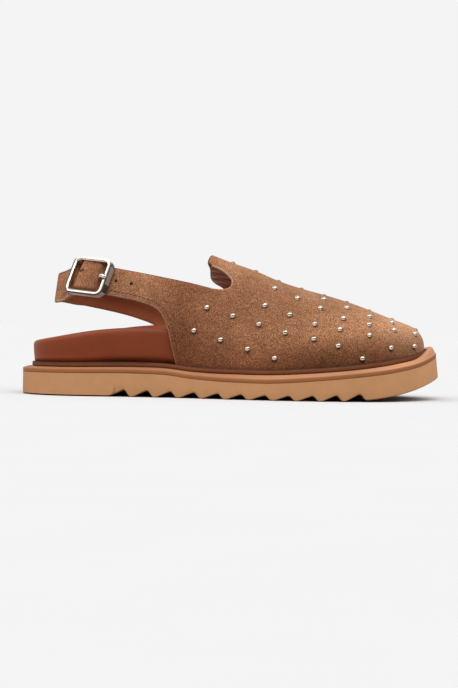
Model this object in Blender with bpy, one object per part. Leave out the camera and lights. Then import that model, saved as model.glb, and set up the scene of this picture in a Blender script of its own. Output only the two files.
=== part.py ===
"""Studded slingback clog, right foot: ripple outsole, midsole, welt, footbed, hollow upper, buckle and studs.

Frame: +X to the toe, +Y to the inner (medial) side of the foot, +Z up, origin under the middle of the sole.
Sizes are in millimetres and become metres when a mesh is made.
"""

import math

import bmesh
import bpy
import numpy as np
from mathutils import Matrix, Vector

MM = 0.001
NAME = "studded_clog"

# Overall sizes
SOLE_LENGTH = 272.0
HEEL_TIP = -SOLE_LENGTH / 2
TOE_TIP = SOLE_LENGTH / 2
SEAT_GAP = 0.3
SHARP_ANGLE = math.radians(40)

# Plan of the sole and height of the outsole's top edge
SOLE_COLUMNS = ("x", "centre", "half", "outsole_top", "crown_rise")
SOLE_ROWS = (
    (-136.0, 0.0, 36.0, 14.2, 0.9),
    (-100.0, 0.0, 37.0, 14.5, 0.9),
    (-60.0, -0.5, 36.0, 14.8, 1.2),
    (-39.0, -2.1, 36.2, 14.1, 1.3),
    (-28.0, -3.0, 37.1, 12.6, 1.5),
    (-14.0, -4.1, 39.1, 11.4, 1.8),
    (4.0, -4.6, 42.5, 10.7, 2.2),
    (20.0, -4.0, 46.0, 10.5, 2.3),
    (50.0, -1.2, 51.0, 12.4, 2.0),
    (75.0, 1.2, 51.2, 14.8, 1.9),
    (105.0, 4.5, 49.0, 18.8, 2.3),
    (125.0, 6.8, 45.9, 23.4, 2.4),
    (136.0, 8.0, 44.0, 28.0, 2.2),
)
HEEL_ROUND = 42.0
HEEL_POWER = 2.3
TOE_ROUND = 66.0
TOE_POWER = 2.2
TIP_FLAT = 0.3
PLAN_TIP_STATIONS = 11
PLAN_MIDDLE_STATIONS = 16

# Ripple tread: a gentle ramp on the heel side of each gap and a steep wall on the toe side
GAP_COUNT = 11
GAP_FIRST = -67.6
GAP_PITCH = 14.76
GAP_COLUMNS = ("x", "depth")
GAP_ROWS = (
    (-68.0, 4.6),
    (-20.0, 3.7),
    (30.0, 3.1),
    (80.0, 4.1),
)
GAP_RAMP = 8.8
GAP_ROOF = 1.0
GAP_STEEP = 2.8
SPRING_START = 46.0
SPRING_HEIGHT = 15.2
SPRING_POWER = 3.0
BOTTOM_EDGE = 1.6
STATION_CLEAR = 1.5

# Midsole and welt
MIDSOLE_SIDE = 2.4
FLANGE_SLOPE_WIDTH = 3.0
WELT_HEIGHT = 2.8
WELT_OUTER = 5.8
WELT_INNER = 10.6
WELT_ROUND = 0.9

# Footbed: height of its rim on each side and of the middle of its dished top
FOOTBED_COLUMNS = ("x", "outer_rim", "inner_rim", "middle")
FOOTBED_ROWS = (
    (-130.0, 34.0, 33.5, 31.5),
    (-113.0, 37.2, 36.4, 31.0),
    (-86.0, 42.0, 41.4, 31.5),
    (-59.0, 44.0, 45.2, 33.5),
    (-39.0, 43.2, 46.0, 33.0),
    (-11.0, 35.0, 38.0, 28.5),
    (19.0, 26.0, 28.0, 23.0),
    (49.0, 23.5, 24.5, 21.8),
    (84.0, 26.5, 26.5, 25.0),
    (124.0, 35.0, 35.0, 34.0),
)
FOOTBED_INSET = 6.5
FOOTBED_INSET_IN_UPPER = 12.6
FOOTBED_STEP_START = -104.0
FOOTBED_STEP_END = -46.0
FOOTBED_LEAST_WALL = 1.5
FOOTBED_PLUG_INSET = 12.2
# Its profile from the step over the welt up the side, over the rounded rim and down into the hollow:
# distance moved in, share of the side's height, share of the hollow's depth
FOOTBED_PROFILE = (
    (0.9, 0.0, 0.0),
    (0.3, 0.4, 0.0),
    (0.0, 0.78, 0.0),
    (0.5, 0.92, 0.0),
    (1.8, 0.985, 0.0),
    (3.6, 1.0, 0.04),
    (7.5, 1.0, 0.36),
    (12.5, 1.0, 0.74),
    (18.0, 1.0, 0.95),
    (23.0, 1.0, 1.0),
)

# Upper: half width at the feather line, height of the ridge and squareness of the arch
UPPER_COLUMNS = ("x", "centre", "half", "ridge", "power", "ridge_shift")
UPPER_ROWS = (
    (-116.2, 0.0, 44.0, 89.0, 2.0, 0.0),
    (-81.0, 0.0, 42.0, 91.0, 2.0, 0.0),
    (-41.0, -1.5, 28.8, 99.5, 2.4, 1.0),
    (-13.7, -4.0, 31.6, 92.0, 2.3, 4.0),
    (-1.0, -4.6, 34.2, 87.4, 2.3, 5.0),
    (15.0, -4.2, 37.4, 82.0, 2.3, 5.0),
    (30.0, -3.0, 40.4, 75.9, 2.3, 4.5),
    (46.0, -1.4, 42.8, 71.0, 2.3, 4.0),
    (75.0, 1.3, 43.2, 63.2, 2.4, 3.0),
    (106.0, 4.7, 40.6, 52.0, 2.5, 2.0),
    (126.5, 7.0, 37.5, 45.0, 2.6, 1.0),
)
UPPER_HEEL_TIP = -116.2
UPPER_TOE_TIP = 126.5
UPPER_HEEL_ROUND = 78.0
UPPER_HEEL_POWER = 1.55
UPPER_TOE_ROUND = 58.0
UPPER_TOE_DROP = 11.5
UPPER_TOE_DROP_POWER = 2.6
UPPER_WALL = 2.3
UPPER_ARCH_STEPS = 24
UPPER_TIP_STATIONS = 12
UPPER_MIDDLE_STATIONS = 22
HEEL_LEAN = 0.13
HEEL_LEAN_HEIGHT = 65.0
HEEL_LEAN_FROM = -41.0
HEEL_LEAN_FULL = -96.0

# Second layer of the strap, from the buckle round to the back of the heel on the outer side
TAIL_THICK = 1.0
TAIL_FRONT = -87.0
TAIL_STEP = 4.0
TAIL_BACK = -110.0

# Cut edges of the upper seen from the side, as (x, z) points of smooth curves
COLLAR_OUTER = (
    (-14.0, 92.6), (-15.6, 88.2), (-14.4, 85.6), (-6.1, 81.8), (-0.3, 75.6), (-2.8, 69.8),
    (-11.9, 69.1), (-24.0, 71.8), (-46.0, 76.1), (-77.0, 81.9), (-87.0, 84.1), (-94.0, 84.8), (-100.5, 83.2),
    (-107.0, 79.6), (-126.0, 74.0),
)
COLLAR_INNER = (
    (-14.0, 92.6), (-15.6, 88.2), (-14.6, 84.0), (-13.6, 77.0), (-5.6, 71.4), (-4.0, 67.2),
    (-11.0, 66.4), (-24.0, 69.0), (-46.0, 73.5), (-77.0, 79.5), (-93.0, 81.0), (-107.0, 79.0), (-126.0, 74.0),
)
HEEL_OPEN_OUTER = (
    (-126.0, 60.5), (-113.0, 61.0), (-107.0, 63.2), (-100.5, 66.0), (-93.0, 66.7), (-86.0, 66.2), (-79.0, 64.9),
    (-59.0, 60.9), (-47.5, 56.0), (-41.8, 47.0), (-38.4, 34.5), (-35.3, 21.9), (-33.0, 12.0),
)
HEEL_OPEN_INNER = (
    (-126.0, 60.5), (-114.6, 61.4), (-98.7, 58.6), (-77.5, 54.4), (-63.2, 50.5), (-51.2, 45.6),
    (-44.0, 37.0), (-39.0, 21.9), (-36.0, 12.0),
)
CUT_BACK = -160.0
CUT_TOP = 150.0
CUT_BOTTOM = -5.0
CUT_SIDE = 90.0
CUT_OVERLAP = 0.5
CUT_STEP = 3.0

# Buckle on the outer side of the strap
BUCKLE_X = -91.8
BUCKLE_Z = 73.6
BUCKLE_ALONG = (0.906, -0.410, -0.100)
BUCKLE_ACROSS = (0.250, 0.380, 0.885)
BUCKLE_LENGTH = 27.6
BUCKLE_HEIGHT = 26.8
BUCKLE_BAR = 2.7
BUCKLE_DEPTH = 6.4
BUCKLE_CORNER = 5.0
BUCKLE_EDGE = 0.5
BUCKLE_CORNER_POINTS = 5
BUCKLE_RESTS = (-8.0, 0.0, 7.0)
STRAP_REACH = 20.0
STRAP_STEP = 1.0
PRONG_RADIUS = 0.9
PRONG_BACK = 6.4
PRONG_BEND = 3.4
PRONG_TIP = 1.2
PRONG_STEP = 0.8

# Studs: straight rows seen from the side; the last column says whether the inner side has the row too
STUD_RADIUS = 1.75
STUD_HEIGHT = 1.15
STUD_SIDES = 10
STUD_RINGS = 6
STUD_COLUMNS = ("x_first", "z_first", "x_last", "z_last", "count", "both_sides")
STUD_ROWS = (
    (26.5, 70.3, 69.9, 51.9, 4, True),
    (86.4, 48.2, 103.1, 45.0, 2, True),
    (58.2, 63.9, 87.4, 53.3, 3, True),
    (102.5, 49.7, 118.1, 42.8, 2, True),
    (20.2, 59.2, 51.6, 48.0, 3, True),
    (67.5, 45.0, 86.3, 41.6, 2, False),
    (-16.4, 57.3, 33.1, 42.3, 4, False),
    (51.0, 38.7, 66.3, 34.6, 2, False),
    (-24.3, 42.5, 26.6, 26.2, 4, False),
    (81.7, 26.9, 81.7, 26.9, 1, False),
    (100.4, 33.8, 116.9, 34.9, 2, False),
)
RIDGE_STUDS = 9
RIDGE_STUD_FIRST = -0.5
RIDGE_STUD_LAST = 121.4
# How far past the top of the section, to the inner side, the ridge row lies at its two ends
RIDGE_TURN_FIRST = 0.14
RIDGE_TURN_LAST = 0.24

# Colours, roughness and metallic value of each material
SUEDE = ((0.30, 0.14, 0.07), 0.9, 0.0)
FOOTBED_LEATHER = ((0.22, 0.045, 0.02), 0.45, 0.0)
WELT_LEATHER = ((0.17, 0.055, 0.02), 0.6, 0.0)
MIDSOLE_LEATHER = ((0.38, 0.14, 0.05), 0.6, 0.0)
SOLE_FOAM = ((0.52, 0.27, 0.12), 0.8, 0.0)
NICKEL = ((0.75, 0.72, 0.68), 0.2, 1.0)


def table(columns, rows):
    return {name: np.array(values, float) for name, values in zip(columns, zip(*rows))}


SOLE = table(SOLE_COLUMNS, SOLE_ROWS)
FOOTBED = table(FOOTBED_COLUMNS, FOOTBED_ROWS)
UPPER = table(UPPER_COLUMNS, UPPER_ROWS)
GAPS = table(GAP_COLUMNS, GAP_ROWS)


def at(sections, column, x):
    """Smooth value of one column at x: a cubic between rows, with slopes from the rows on either side."""
    xs = sections["x"]
    values = sections[column]
    slopes = np.gradient(values, xs)
    x = min(max(x, xs[0]), xs[-1])
    i = min(int(np.searchsorted(xs, x, side="right")) - 1, len(xs) - 2)
    span = xs[i + 1] - xs[i]
    t = (x - xs[i]) / span
    start = values[i] * (1 + 2 * t) * (1 - t) ** 2 + slopes[i] * span * t * (1 - t) ** 2
    end = values[i + 1] * t * t * (3 - 2 * t) - slopes[i + 1] * span * t * t * (1 - t)
    return float(start + end)


def smooth_step(low, high, x):
    t = min(max((x - low) / (high - low), 0.0), 1.0)
    return t * t * (3 - 2 * t)


def rounded_end(distance, length, power):
    """Share of the full width at a distance from a rounded tip."""
    left = max(0.0, 1 - (distance + TIP_FLAT) / length)
    return (1 - left**power) ** (1 / power)


def spaced(start, end, first_round, last_round, tip_count, middle_count):
    """Stations from start to end, close together over the rounded lengths at the two tips."""
    angles = np.linspace(0, math.pi / 2, tip_count)
    first = [start + first_round * (1 - math.cos(a)) for a in angles]
    last = [end - last_round * (1 - math.cos(a)) for a in angles[::-1]]
    return first + list(np.linspace(first[-1], last[0], middle_count)[1:-1]) + last


def sole_edges(x, inset):
    """Outer and inner y of the sole's plan outline, moved in by inset."""
    share = rounded_end(x - (HEEL_TIP + inset), HEEL_ROUND - inset, HEEL_POWER)
    share *= rounded_end(TOE_TIP - inset - x, TOE_ROUND - inset, TOE_POWER)
    half = (at(SOLE, "half", x) - inset) * share
    centre = at(SOLE, "centre", x)
    return centre - half, centre + half


def plan_stations(inset):
    """Stations along the sole, the same number for every inset."""
    heel, toe = HEEL_TIP + inset, TOE_TIP - inset
    return spaced(heel, toe, HEEL_ROUND, TOE_ROUND, PLAN_TIP_STATIONS, PLAN_MIDDLE_STATIONS)


def tread_height(x):
    """Underside of the outsole: flat, cut by the ripple gaps and turned up at the toe."""
    spring = SPRING_HEIGHT * max(0.0, (x - SPRING_START) / (TOE_TIP - SPRING_START)) ** SPRING_POWER
    cut = 0.0
    for k in range(GAP_COUNT):
        peak = GAP_FIRST + k * GAP_PITCH
        ramp = (x - (peak - GAP_ROOF / 2 - GAP_RAMP)) / GAP_RAMP
        steep = (peak + GAP_ROOF / 2 + GAP_STEEP - x) / GAP_STEEP
        cut = max(cut, at(GAPS, "depth", peak) * min(1.0, ramp, steep))
    return spring + cut


def tread_stations():
    """Stations of the outsole, with one at each corner of the tread."""
    ends = plan_stations(0.0)
    corners = []
    for k in range(GAP_COUNT):
        peak = GAP_FIRST + k * GAP_PITCH
        corners += [peak - GAP_ROOF / 2 - GAP_RAMP, peak - GAP_ROOF / 2]
        corners += [peak + GAP_ROOF / 2, peak + GAP_ROOF / 2 + GAP_STEEP]
    spare = [x for x in ends if min(abs(x - corner) for corner in corners) > STATION_CLEAR]
    return sorted(spare + corners)


def midsole_base(x):
    return at(SOLE, "outsole_top", x) + SEAT_GAP


def midsole_crown(x):
    return midsole_base(x) + MIDSOLE_SIDE + at(SOLE, "crown_rise", x)


def welt_base(x):
    return midsole_crown(x) + SEAT_GAP


def welt_top(x):
    return welt_base(x) + WELT_HEIGHT


def feather(x):
    """Lower edge of the upper, just above the welt."""
    return welt_top(x) + SEAT_GAP


def material(name, look):
    colour, roughness, metallic = look
    made = bpy.data.materials.new(name)
    made.use_nodes = True
    shader = made.node_tree.nodes["Principled BSDF"]
    shader.inputs["Base Color"].default_value = (*colour, 1.0)
    shader.inputs["Roughness"].default_value = roughness
    shader.inputs["Metallic"].default_value = metallic
    made.diffuse_color = (*colour, 1.0)
    return made


def object_from(name, bm, collection, look=None):
    """A mesh object in metres from a bmesh in millimetres."""
    bmesh.ops.remove_doubles(bm, verts=bm.verts, dist=1e-4)
    bmesh.ops.recalc_face_normals(bm, faces=bm.faces)
    bmesh.ops.scale(bm, vec=(MM, MM, MM), verts=bm.verts)
    mesh = bpy.data.meshes.new(name)
    bm.to_mesh(mesh)
    bm.free()
    mesh.shade_smooth()
    mesh.set_sharp_from_angle(angle=SHARP_ANGLE)
    made = bpy.data.objects.new(name, mesh)
    collection.objects.link(made)
    if look:
        mesh.materials.append(look)
    return made


def loft(loops, capped):
    """A bmesh skinned over equal loops; capped closes both ends, otherwise the last meets the first."""
    bm = bmesh.new()
    rings = [[bm.verts.new(point) for point in loop] for loop in loops]
    pairs = list(zip(rings, rings[1:]))
    if not capped:
        pairs.append((rings[-1], rings[0]))
    for first, second in pairs:
        count = len(first)
        for i in range(count):
            j = (i + 1) % count
            bm.faces.new((first[i], first[j], second[j], second[i]))
    if capped:
        bm.faces.new(rings[0][::-1])
        bm.faces.new(rings[-1])
    return bm


def disc_loft(loops):
    """A bmesh skinned over loops round the plan, the first and last closed by bars from side to side."""
    bm = bmesh.new()
    rings = [[bm.verts.new(point) for point in loop] for loop in loops]
    count = len(rings[0])
    for first, second in zip(rings, rings[1:]):
        for i in range(count):
            j = (i + 1) % count
            bm.faces.new((first[i], first[j], second[j], second[i]))
    for ring in (rings[0], rings[-1]):
        for i in range(count // 2 - 1):
            bm.faces.new((ring[i], ring[i + 1], ring[count - 2 - i], ring[count - 1 - i]))
    return bm


def make_outsole(collection, look):
    loops = []
    for x in tread_stations():
        outer, inner = sole_edges(x, 0.0)
        low, top = tread_height(x), at(SOLE, "outsole_top", x)
        edge = min(BOTTOM_EDGE, (inner - outer) / 4)
        loops.append([
            (x, outer + edge, low), (x, inner - edge, low), (x, inner, low + edge),
            (x, inner, top), (x, outer, top), (x, outer, low + edge),
        ])
    return object_from("outsole", loft(loops, True), collection, look)


def make_midsole(collection, look):
    loops = []
    for x in plan_stations(0.0):
        outer, inner = sole_edges(x, 0.0)
        base, crown = midsole_base(x), midsole_crown(x)
        side = base + MIDSOLE_SIDE
        slope = min(FLANGE_SLOPE_WIDTH, (inner - outer) / 4)
        loops.append([
            (x, outer, base), (x, inner, base), (x, inner, side),
            (x, inner - slope, crown), (x, outer + slope, crown), (x, outer, side),
        ])
    return object_from("midsole", loft(loops, True), collection, look)


def plan_loop(inset, height, lift=0.0):
    """Closed loop round the sole's plan, moved in by inset, at the height that a function gives."""
    stations = plan_stations(inset)
    outer = [(x, sole_edges(x, inset)[0], height(x) + lift) for x in stations]
    inner = [(x, sole_edges(x, inset)[1], height(x) + lift) for x in stations]
    return outer + inner[::-1]


def make_welt(collection, look):
    middle = WELT_HEIGHT / 2
    loops = [
        plan_loop(WELT_OUTER + WELT_ROUND, welt_base),
        plan_loop(WELT_OUTER, welt_base, middle),
        plan_loop(WELT_OUTER + WELT_ROUND, welt_top),
        plan_loop(WELT_INNER, welt_top),
        plan_loop(WELT_INNER, welt_base),
    ]
    return object_from("welt", loft(loops, False), collection, look)


def footbed_inset(x):
    inside = smooth_step(FOOTBED_STEP_START, FOOTBED_STEP_END, x)
    return FOOTBED_INSET + (FOOTBED_INSET_IN_UPPER - FOOTBED_INSET) * inside


def footbed_loop(move_in, wall, dish):
    """Closed loop on the footbed: wall is a share of the side's height, dish one of the hollow's depth."""
    heel, toe = HEEL_TIP + FOOTBED_INSET + move_in, TOE_TIP - FOOTBED_INSET_IN_UPPER - move_in
    stations = spaced(heel, toe, HEEL_ROUND, TOE_ROUND, PLAN_TIP_STATIONS, PLAN_MIDDLE_STATIONS)
    sides = {"outer_rim": [], "inner_rim": []}
    for x in stations:
        edges = sole_edges(x, footbed_inset(x) + move_in)
        step = welt_top(x) + SEAT_GAP
        for (rim_name, points), y in zip(sides.items(), edges):
            rim = max(at(FOOTBED, rim_name, x), step + FOOTBED_LEAST_WALL)
            low = max(at(FOOTBED, "middle", x), step + FOOTBED_LEAST_WALL)
            points.append((x, y, step + (rim - step) * wall - max(0.0, rim - low) * dish))
    return sides["outer_rim"] + sides["inner_rim"][::-1]


def make_footbed(collection, look):
    """Dished footbed: a plug inside the welt, a step over it, rounded side walls and a hollow top."""
    plug = [plan_loop(FOOTBED_PLUG_INSET, welt_base), plan_loop(FOOTBED_PLUG_INSET, welt_top, SEAT_GAP)]
    loops = plug + [footbed_loop(*row) for row in FOOTBED_PROFILE]
    return object_from("footbed", disc_loft(loops), collection, look)


def tail_layer(x):
    """Thickness that the strap's second layer adds outside, at the section x."""
    front = smooth_step(TAIL_FRONT, TAIL_FRONT - TAIL_STEP, x)
    return TAIL_THICK * front * smooth_step(TAIL_BACK, TAIL_BACK + TAIL_STEP, x)


def upper_point(x, angle, inset=0.0):
    """Point of the upper's face moved in by inset; angle runs from the outer to the inner side."""
    heel, toe = UPPER_HEEL_TIP + inset, UPPER_TOE_TIP - inset
    share = rounded_end(x - heel, UPPER_HEEL_ROUND - inset, UPPER_HEEL_POWER)
    share *= rounded_end(toe - x, UPPER_TOE_ROUND - inset, TOE_POWER)
    half = (at(UPPER, "half", x) - inset) * share
    low = feather(x)
    drop = min(1.0, max(0.0, (x - (toe - UPPER_TOE_DROP)) / (UPPER_TOE_DROP + TIP_FLAT)))
    fall = (1 - drop**UPPER_TOE_DROP_POWER) ** (1 / UPPER_TOE_DROP_POWER)
    height = (at(UPPER, "ridge", x) - inset - low) * fall
    power = 2 / at(UPPER, "power", x)
    across = math.copysign(abs(math.cos(angle)) ** power, math.cos(angle))
    rise = abs(math.sin(angle)) ** power
    y = at(UPPER, "centre", x) - half * across + at(UPPER, "ridge_shift", x) * share * rise**2
    z = low + height * rise
    if not inset and across > 0:
        y -= tail_layer(x)
    lean = HEEL_LEAN * smooth_step(HEEL_LEAN_FROM, HEEL_LEAN_FULL, x)
    return Vector((x + lean * (z - HEEL_LEAN_HEIGHT), y, z))


def upper_angle(x, z, inner_side):
    """Angle of the upper's outer face at height z in the section at x."""
    low = feather(x)
    top = upper_point(x, math.pi / 2).z
    rise = min(0.999, max(0.0, (z - low) / (top - low)))
    angle = math.asin(rise ** (at(UPPER, "power", x) / 2))
    return math.pi - angle if inner_side else angle


def upper_axes(x, angle):
    """Point on the upper's outer face, with unit vectors along the shoe and out of the face."""
    step_x, step_angle = 0.5, 0.02
    along = upper_point(x + step_x, angle) - upper_point(x - step_x, angle)
    over = upper_point(x, angle + step_angle) - upper_point(x, angle - step_angle)
    return upper_point(x, angle), along.normalized(), along.cross(over).normalized()


def upper_shell():
    """Closed bmesh between the outer and the inner face, open underneath."""
    bm = bmesh.new()
    angles = np.linspace(0, math.pi, UPPER_ARCH_STEPS + 1)
    faces = []
    for inset in (0.0, UPPER_WALL):
        heel, toe = UPPER_HEEL_TIP + inset, UPPER_TOE_TIP - inset
        rounds = UPPER_HEEL_ROUND, UPPER_TOE_ROUND
        stations = spaced(heel, toe, *rounds, UPPER_TIP_STATIONS, UPPER_MIDDLE_STATIONS)
        faces.append([[bm.verts.new(upper_point(x, a, inset)) for a in angles] for x in stations])
    for grid in faces:
        for first, second in zip(grid, grid[1:]):
            for i in range(UPPER_ARCH_STEPS):
                bm.faces.new((first[i], first[i + 1], second[i + 1], second[i]))
        bm.faces.new(grid[0])
        bm.faces.new(grid[-1][::-1])
    outside, inside = faces
    for edge in (0, -1):
        for i in range(len(outside) - 1):
            bm.faces.new((outside[i][edge], outside[i + 1][edge], inside[i + 1][edge], inside[i][edge]))
    for end in (0, -1):
        bm.faces.new((outside[end][0], outside[end][-1], inside[end][-1], inside[end][0]))
    return bm


def smooth_path(points, step):
    """Points about a step apart on a Catmull-Rom curve through the given ones."""
    points = [np.array(point, float) for point in points]
    padded = [2 * points[0] - points[1]] + points + [2 * points[-1] - points[-2]]
    path = []
    for before, start, end, after in zip(padded, padded[1:], padded[2:], padded[3:]):
        count = max(1, round(float(np.linalg.norm(end - start)) / step))
        for t in np.arange(count) / count:
            turn = 2 * before - 5 * start + 4 * end - after
            bend = 3 * start - before - 3 * end + after
            path.append(0.5 * (2 * start + (end - before) * t + turn * t**2 + bend * t**3))
    return path + [points[-1]]


def mesh_from_curve(curve, collection):
    """Replaces a curve object by a welded mesh object with the same name and place."""
    bpy.context.view_layer.update()
    graph = bpy.context.evaluated_depsgraph_get()
    mesh = bpy.data.meshes.new_from_object(curve.evaluated_get(graph))
    bm = bmesh.new()
    bm.from_mesh(mesh)
    bmesh.ops.remove_doubles(bm, verts=bm.verts, dist=1e-6)
    bmesh.ops.recalc_face_normals(bm, faces=bm.faces)
    bm.to_mesh(mesh)
    bm.free()
    name = curve.name
    place = curve.matrix_world.copy()
    bpy.data.objects.remove(curve)
    made = bpy.data.objects.new(name, mesh)
    made.matrix_world = place
    collection.objects.link(made)
    return made


def flat_curve(name, outlines, half_thickness, collection):
    """A filled 2D curve object through closed outlines given in millimetres."""
    data = bpy.data.curves.new(name, "CURVE")
    data.dimensions = "2D"
    data.fill_mode = "BOTH"
    data.extrude = half_thickness * MM
    for outline in outlines:
        spline = data.splines.new("POLY")
        spline.points.add(len(outline) - 1)
        for point, (u, v) in zip(spline.points, outline):
            point.co = (u * MM, v * MM, 0.0, 1.0)
        spline.use_cyclic_u = True
    made = bpy.data.objects.new(name, data)
    collection.objects.link(made)
    return made


def side_cutter(name, path, far_corners, side, collection):
    """A prism across half of the shoe from an outline in x and z; side is -1 for outer and 1 for inner."""
    outline = [tuple(point) for point in smooth_path(path, CUT_STEP)] + list(far_corners)
    width = CUT_SIDE + CUT_OVERLAP
    curve = flat_curve(name, [outline], width / 2, collection)
    middle = side * (CUT_SIDE - CUT_OVERLAP) / 2
    curve.matrix_world = Matrix.Translation((0, middle * MM, 0)) @ Matrix.Rotation(math.pi / 2, 4, "X")
    cutter = mesh_from_curve(curve, collection)
    cutter.hide_render = True
    cutter.display_type = "WIRE"
    return cutter


def make_upper(collection, cutters, look):
    upper = object_from("upper", upper_shell(), collection, look)
    above = ((CUT_BACK, COLLAR_OUTER[-1][1]), (CUT_BACK, CUT_TOP), (COLLAR_OUTER[0][0], CUT_TOP))
    below = ((HEEL_OPEN_OUTER[-1][0], CUT_BOTTOM), (CUT_BACK, CUT_BOTTOM), (CUT_BACK, HEEL_OPEN_OUTER[0][1]))
    below_inner = ((HEEL_OPEN_INNER[-1][0], CUT_BOTTOM),) + below[1:]
    for name, path, corners, side in (
        ("collar_outer_cutter", COLLAR_OUTER, above, -1),
        ("collar_inner_cutter", COLLAR_INNER, above, 1),
        ("heel_outer_cutter", HEEL_OPEN_OUTER, below, -1),
        ("heel_inner_cutter", HEEL_OPEN_INNER, below_inner, 1),
    ):
        cut = upper.modifiers.new(name, "BOOLEAN")
        cut.operation = "DIFFERENCE"
        cut.object = side_cutter(name, path, corners, side, cutters)
    return upper


def rounded_rectangle(length, height, radius):
    points = []
    for turn, (u, v) in enumerate(((1, 1), (-1, 1), (-1, -1), (1, -1))):
        for angle in np.linspace(turn * math.pi / 2, (turn + 1) * math.pi / 2, BUCKLE_CORNER_POINTS):
            centre = (u * (length / 2 - radius), v * (height / 2 - radius))
            points.append((centre[0] + radius * math.cos(angle), centre[1] + radius * math.sin(angle)))
    return points


def buckle_frame_axes():
    """Matrix of the buckle's own axes: along the strap, across it and out of it."""
    along = Vector(BUCKLE_ALONG).normalized()
    out = along.cross(Vector(BUCKLE_ACROSS)).normalized()
    axes = Matrix((along, out.cross(along), out)).transposed().to_4x4()
    axes.translation = upper_point(BUCKLE_X, upper_angle(BUCKLE_X, BUCKLE_Z, False))
    return axes


def strap_places(axes):
    """Points of the strap's outer face round the buckle, in the buckle's own axes."""
    back = axes.inverted()
    places = []
    for x in np.arange(BUCKLE_X - STRAP_REACH, BUCKLE_X + STRAP_REACH, STRAP_STEP):
        for z in np.arange(BUCKLE_Z - STRAP_REACH, BUCKLE_Z + STRAP_REACH, STRAP_STEP):
            places.append(back @ upper_point(x, upper_angle(x, z, False)))
    return places


def strap_height(places, u, v):
    """Height of the strap's face over the buckle's base plane, near the place u, v."""
    return min(places, key=lambda place: (place.x - u) ** 2 + (place.y - v) ** 2).z


def scaled(axes):
    """The same axes for an object in metres."""
    made = axes.copy()
    made.translation = axes.translation * MM
    return made


def make_buckle(collection, look):
    axes = buckle_frame_axes()
    places = strap_places(axes)
    bar = (BUCKLE_LENGTH - BUCKLE_BAR) / 2
    rests = [(u, v) for u in (-bar, bar) for v in BUCKLE_RESTS]
    base = max(strap_height(places, u, v) for u, v in rests) + 2 * SEAT_GAP
    outline = rounded_rectangle(BUCKLE_LENGTH, BUCKLE_HEIGHT, BUCKLE_CORNER)
    inner_length, inner_height = BUCKLE_LENGTH - 2 * BUCKLE_BAR, BUCKLE_HEIGHT - 2 * BUCKLE_BAR
    window = rounded_rectangle(inner_length, inner_height, BUCKLE_CORNER - BUCKLE_BAR / 2)
    curve = flat_curve("buckle_frame", [outline, window], BUCKLE_DEPTH / 2 - BUCKLE_EDGE, collection)
    curve.data.bevel_depth = BUCKLE_EDGE * MM
    curve.data.bevel_resolution = 1
    curve.data.offset = -BUCKLE_EDGE * MM
    curve.matrix_world = scaled(axes @ Matrix.Translation((0, 0, base + BUCKLE_DEPTH / 2)))
    frame = mesh_from_curve(curve, collection)
    frame.data.materials.append(look)
    frame.data.shade_smooth()
    frame.data.set_sharp_from_angle(angle=SHARP_ANGLE)

    top = base + BUCKLE_DEPTH + SEAT_GAP + PRONG_RADIUS
    low = strap_height(places, PRONG_BACK, 0.0) + SEAT_GAP + PRONG_RADIUS
    route = ((PRONG_BACK, low), (PRONG_BACK + PRONG_BEND, top), (bar, top), (bar + PRONG_TIP, top))
    data = bpy.data.curves.new("buckle_prong", "CURVE")
    data.dimensions = "3D"
    data.bevel_depth = PRONG_RADIUS * MM
    data.bevel_resolution = 2
    data.use_fill_caps = True
    spline = data.splines.new("POLY")
    path = smooth_path(route, PRONG_STEP)
    spline.points.add(len(path) - 1)
    for point, (u, out) in zip(spline.points, path):
        point.co = (u * MM, 0.0, out * MM, 1.0)
    prong = bpy.data.objects.new("buckle_prong", data)
    collection.objects.link(prong)
    prong.matrix_world = scaled(axes)
    data.materials.append(look)
    return frame, prong


def stud_places():
    """Section and angle of each stud: the ridge row, the outer rows, then the rows the inner side shares."""
    along = np.linspace(RIDGE_STUD_FIRST, RIDGE_STUD_LAST, RIDGE_STUDS)
    turns = np.linspace(RIDGE_TURN_FIRST, RIDGE_TURN_LAST, RIDGE_STUDS)
    places = [(x, math.pi / 2 + turn) for x, turn in zip(along, turns)]
    for inner_side in (False, True):
        for values in STUD_ROWS:
            row = dict(zip(STUD_COLUMNS, values))
            if inner_side and not row["both_sides"]:
                continue
            for share in np.linspace(0, 1, row["count"]) if row["count"] > 1 else (0.0,):
                x = row["x_first"] + (row["x_last"] - row["x_first"]) * share
                z = row["z_first"] + (row["z_last"] - row["z_first"]) * share
                places.append((x, upper_angle(x, z, inner_side)))
    return places


def make_studs(collection, look):
    bm = bmesh.new()
    bmesh.ops.create_uvsphere(bm, u_segments=STUD_SIDES, v_segments=STUD_RINGS, radius=STUD_RADIUS)
    below = [vert for vert in bm.verts if vert.co.z < -1e-4]
    bmesh.ops.delete(bm, geom=below, context="VERTS")
    bmesh.ops.holes_fill(bm, edges=[edge for edge in bm.edges if edge.is_boundary], sides=0)
    bmesh.ops.scale(bm, vec=(1, 1, STUD_HEIGHT / STUD_RADIUS), verts=bm.verts)
    pattern = object_from("stud_01", bm, collection, look)
    studs = [pattern]
    for number, (x, angle) in enumerate(stud_places(), start=1):
        stud = pattern
        if number > 1:
            stud = bpy.data.objects.new(f"stud_{number:02d}", pattern.data)
            collection.objects.link(stud)
            studs.append(stud)
        point, along, out = upper_axes(x, angle)
        axes = Matrix((along, out.cross(along), out)).transposed().to_4x4()
        axes.translation = point + out * SEAT_GAP
        stud.matrix_world = scaled(axes)
    return studs


def clear_scene():
    for old in list(bpy.data.objects):
        bpy.data.objects.remove(old)


def new_collection(name):
    made = bpy.data.collections.new(name)
    bpy.context.scene.collection.children.link(made)
    return made


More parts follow.
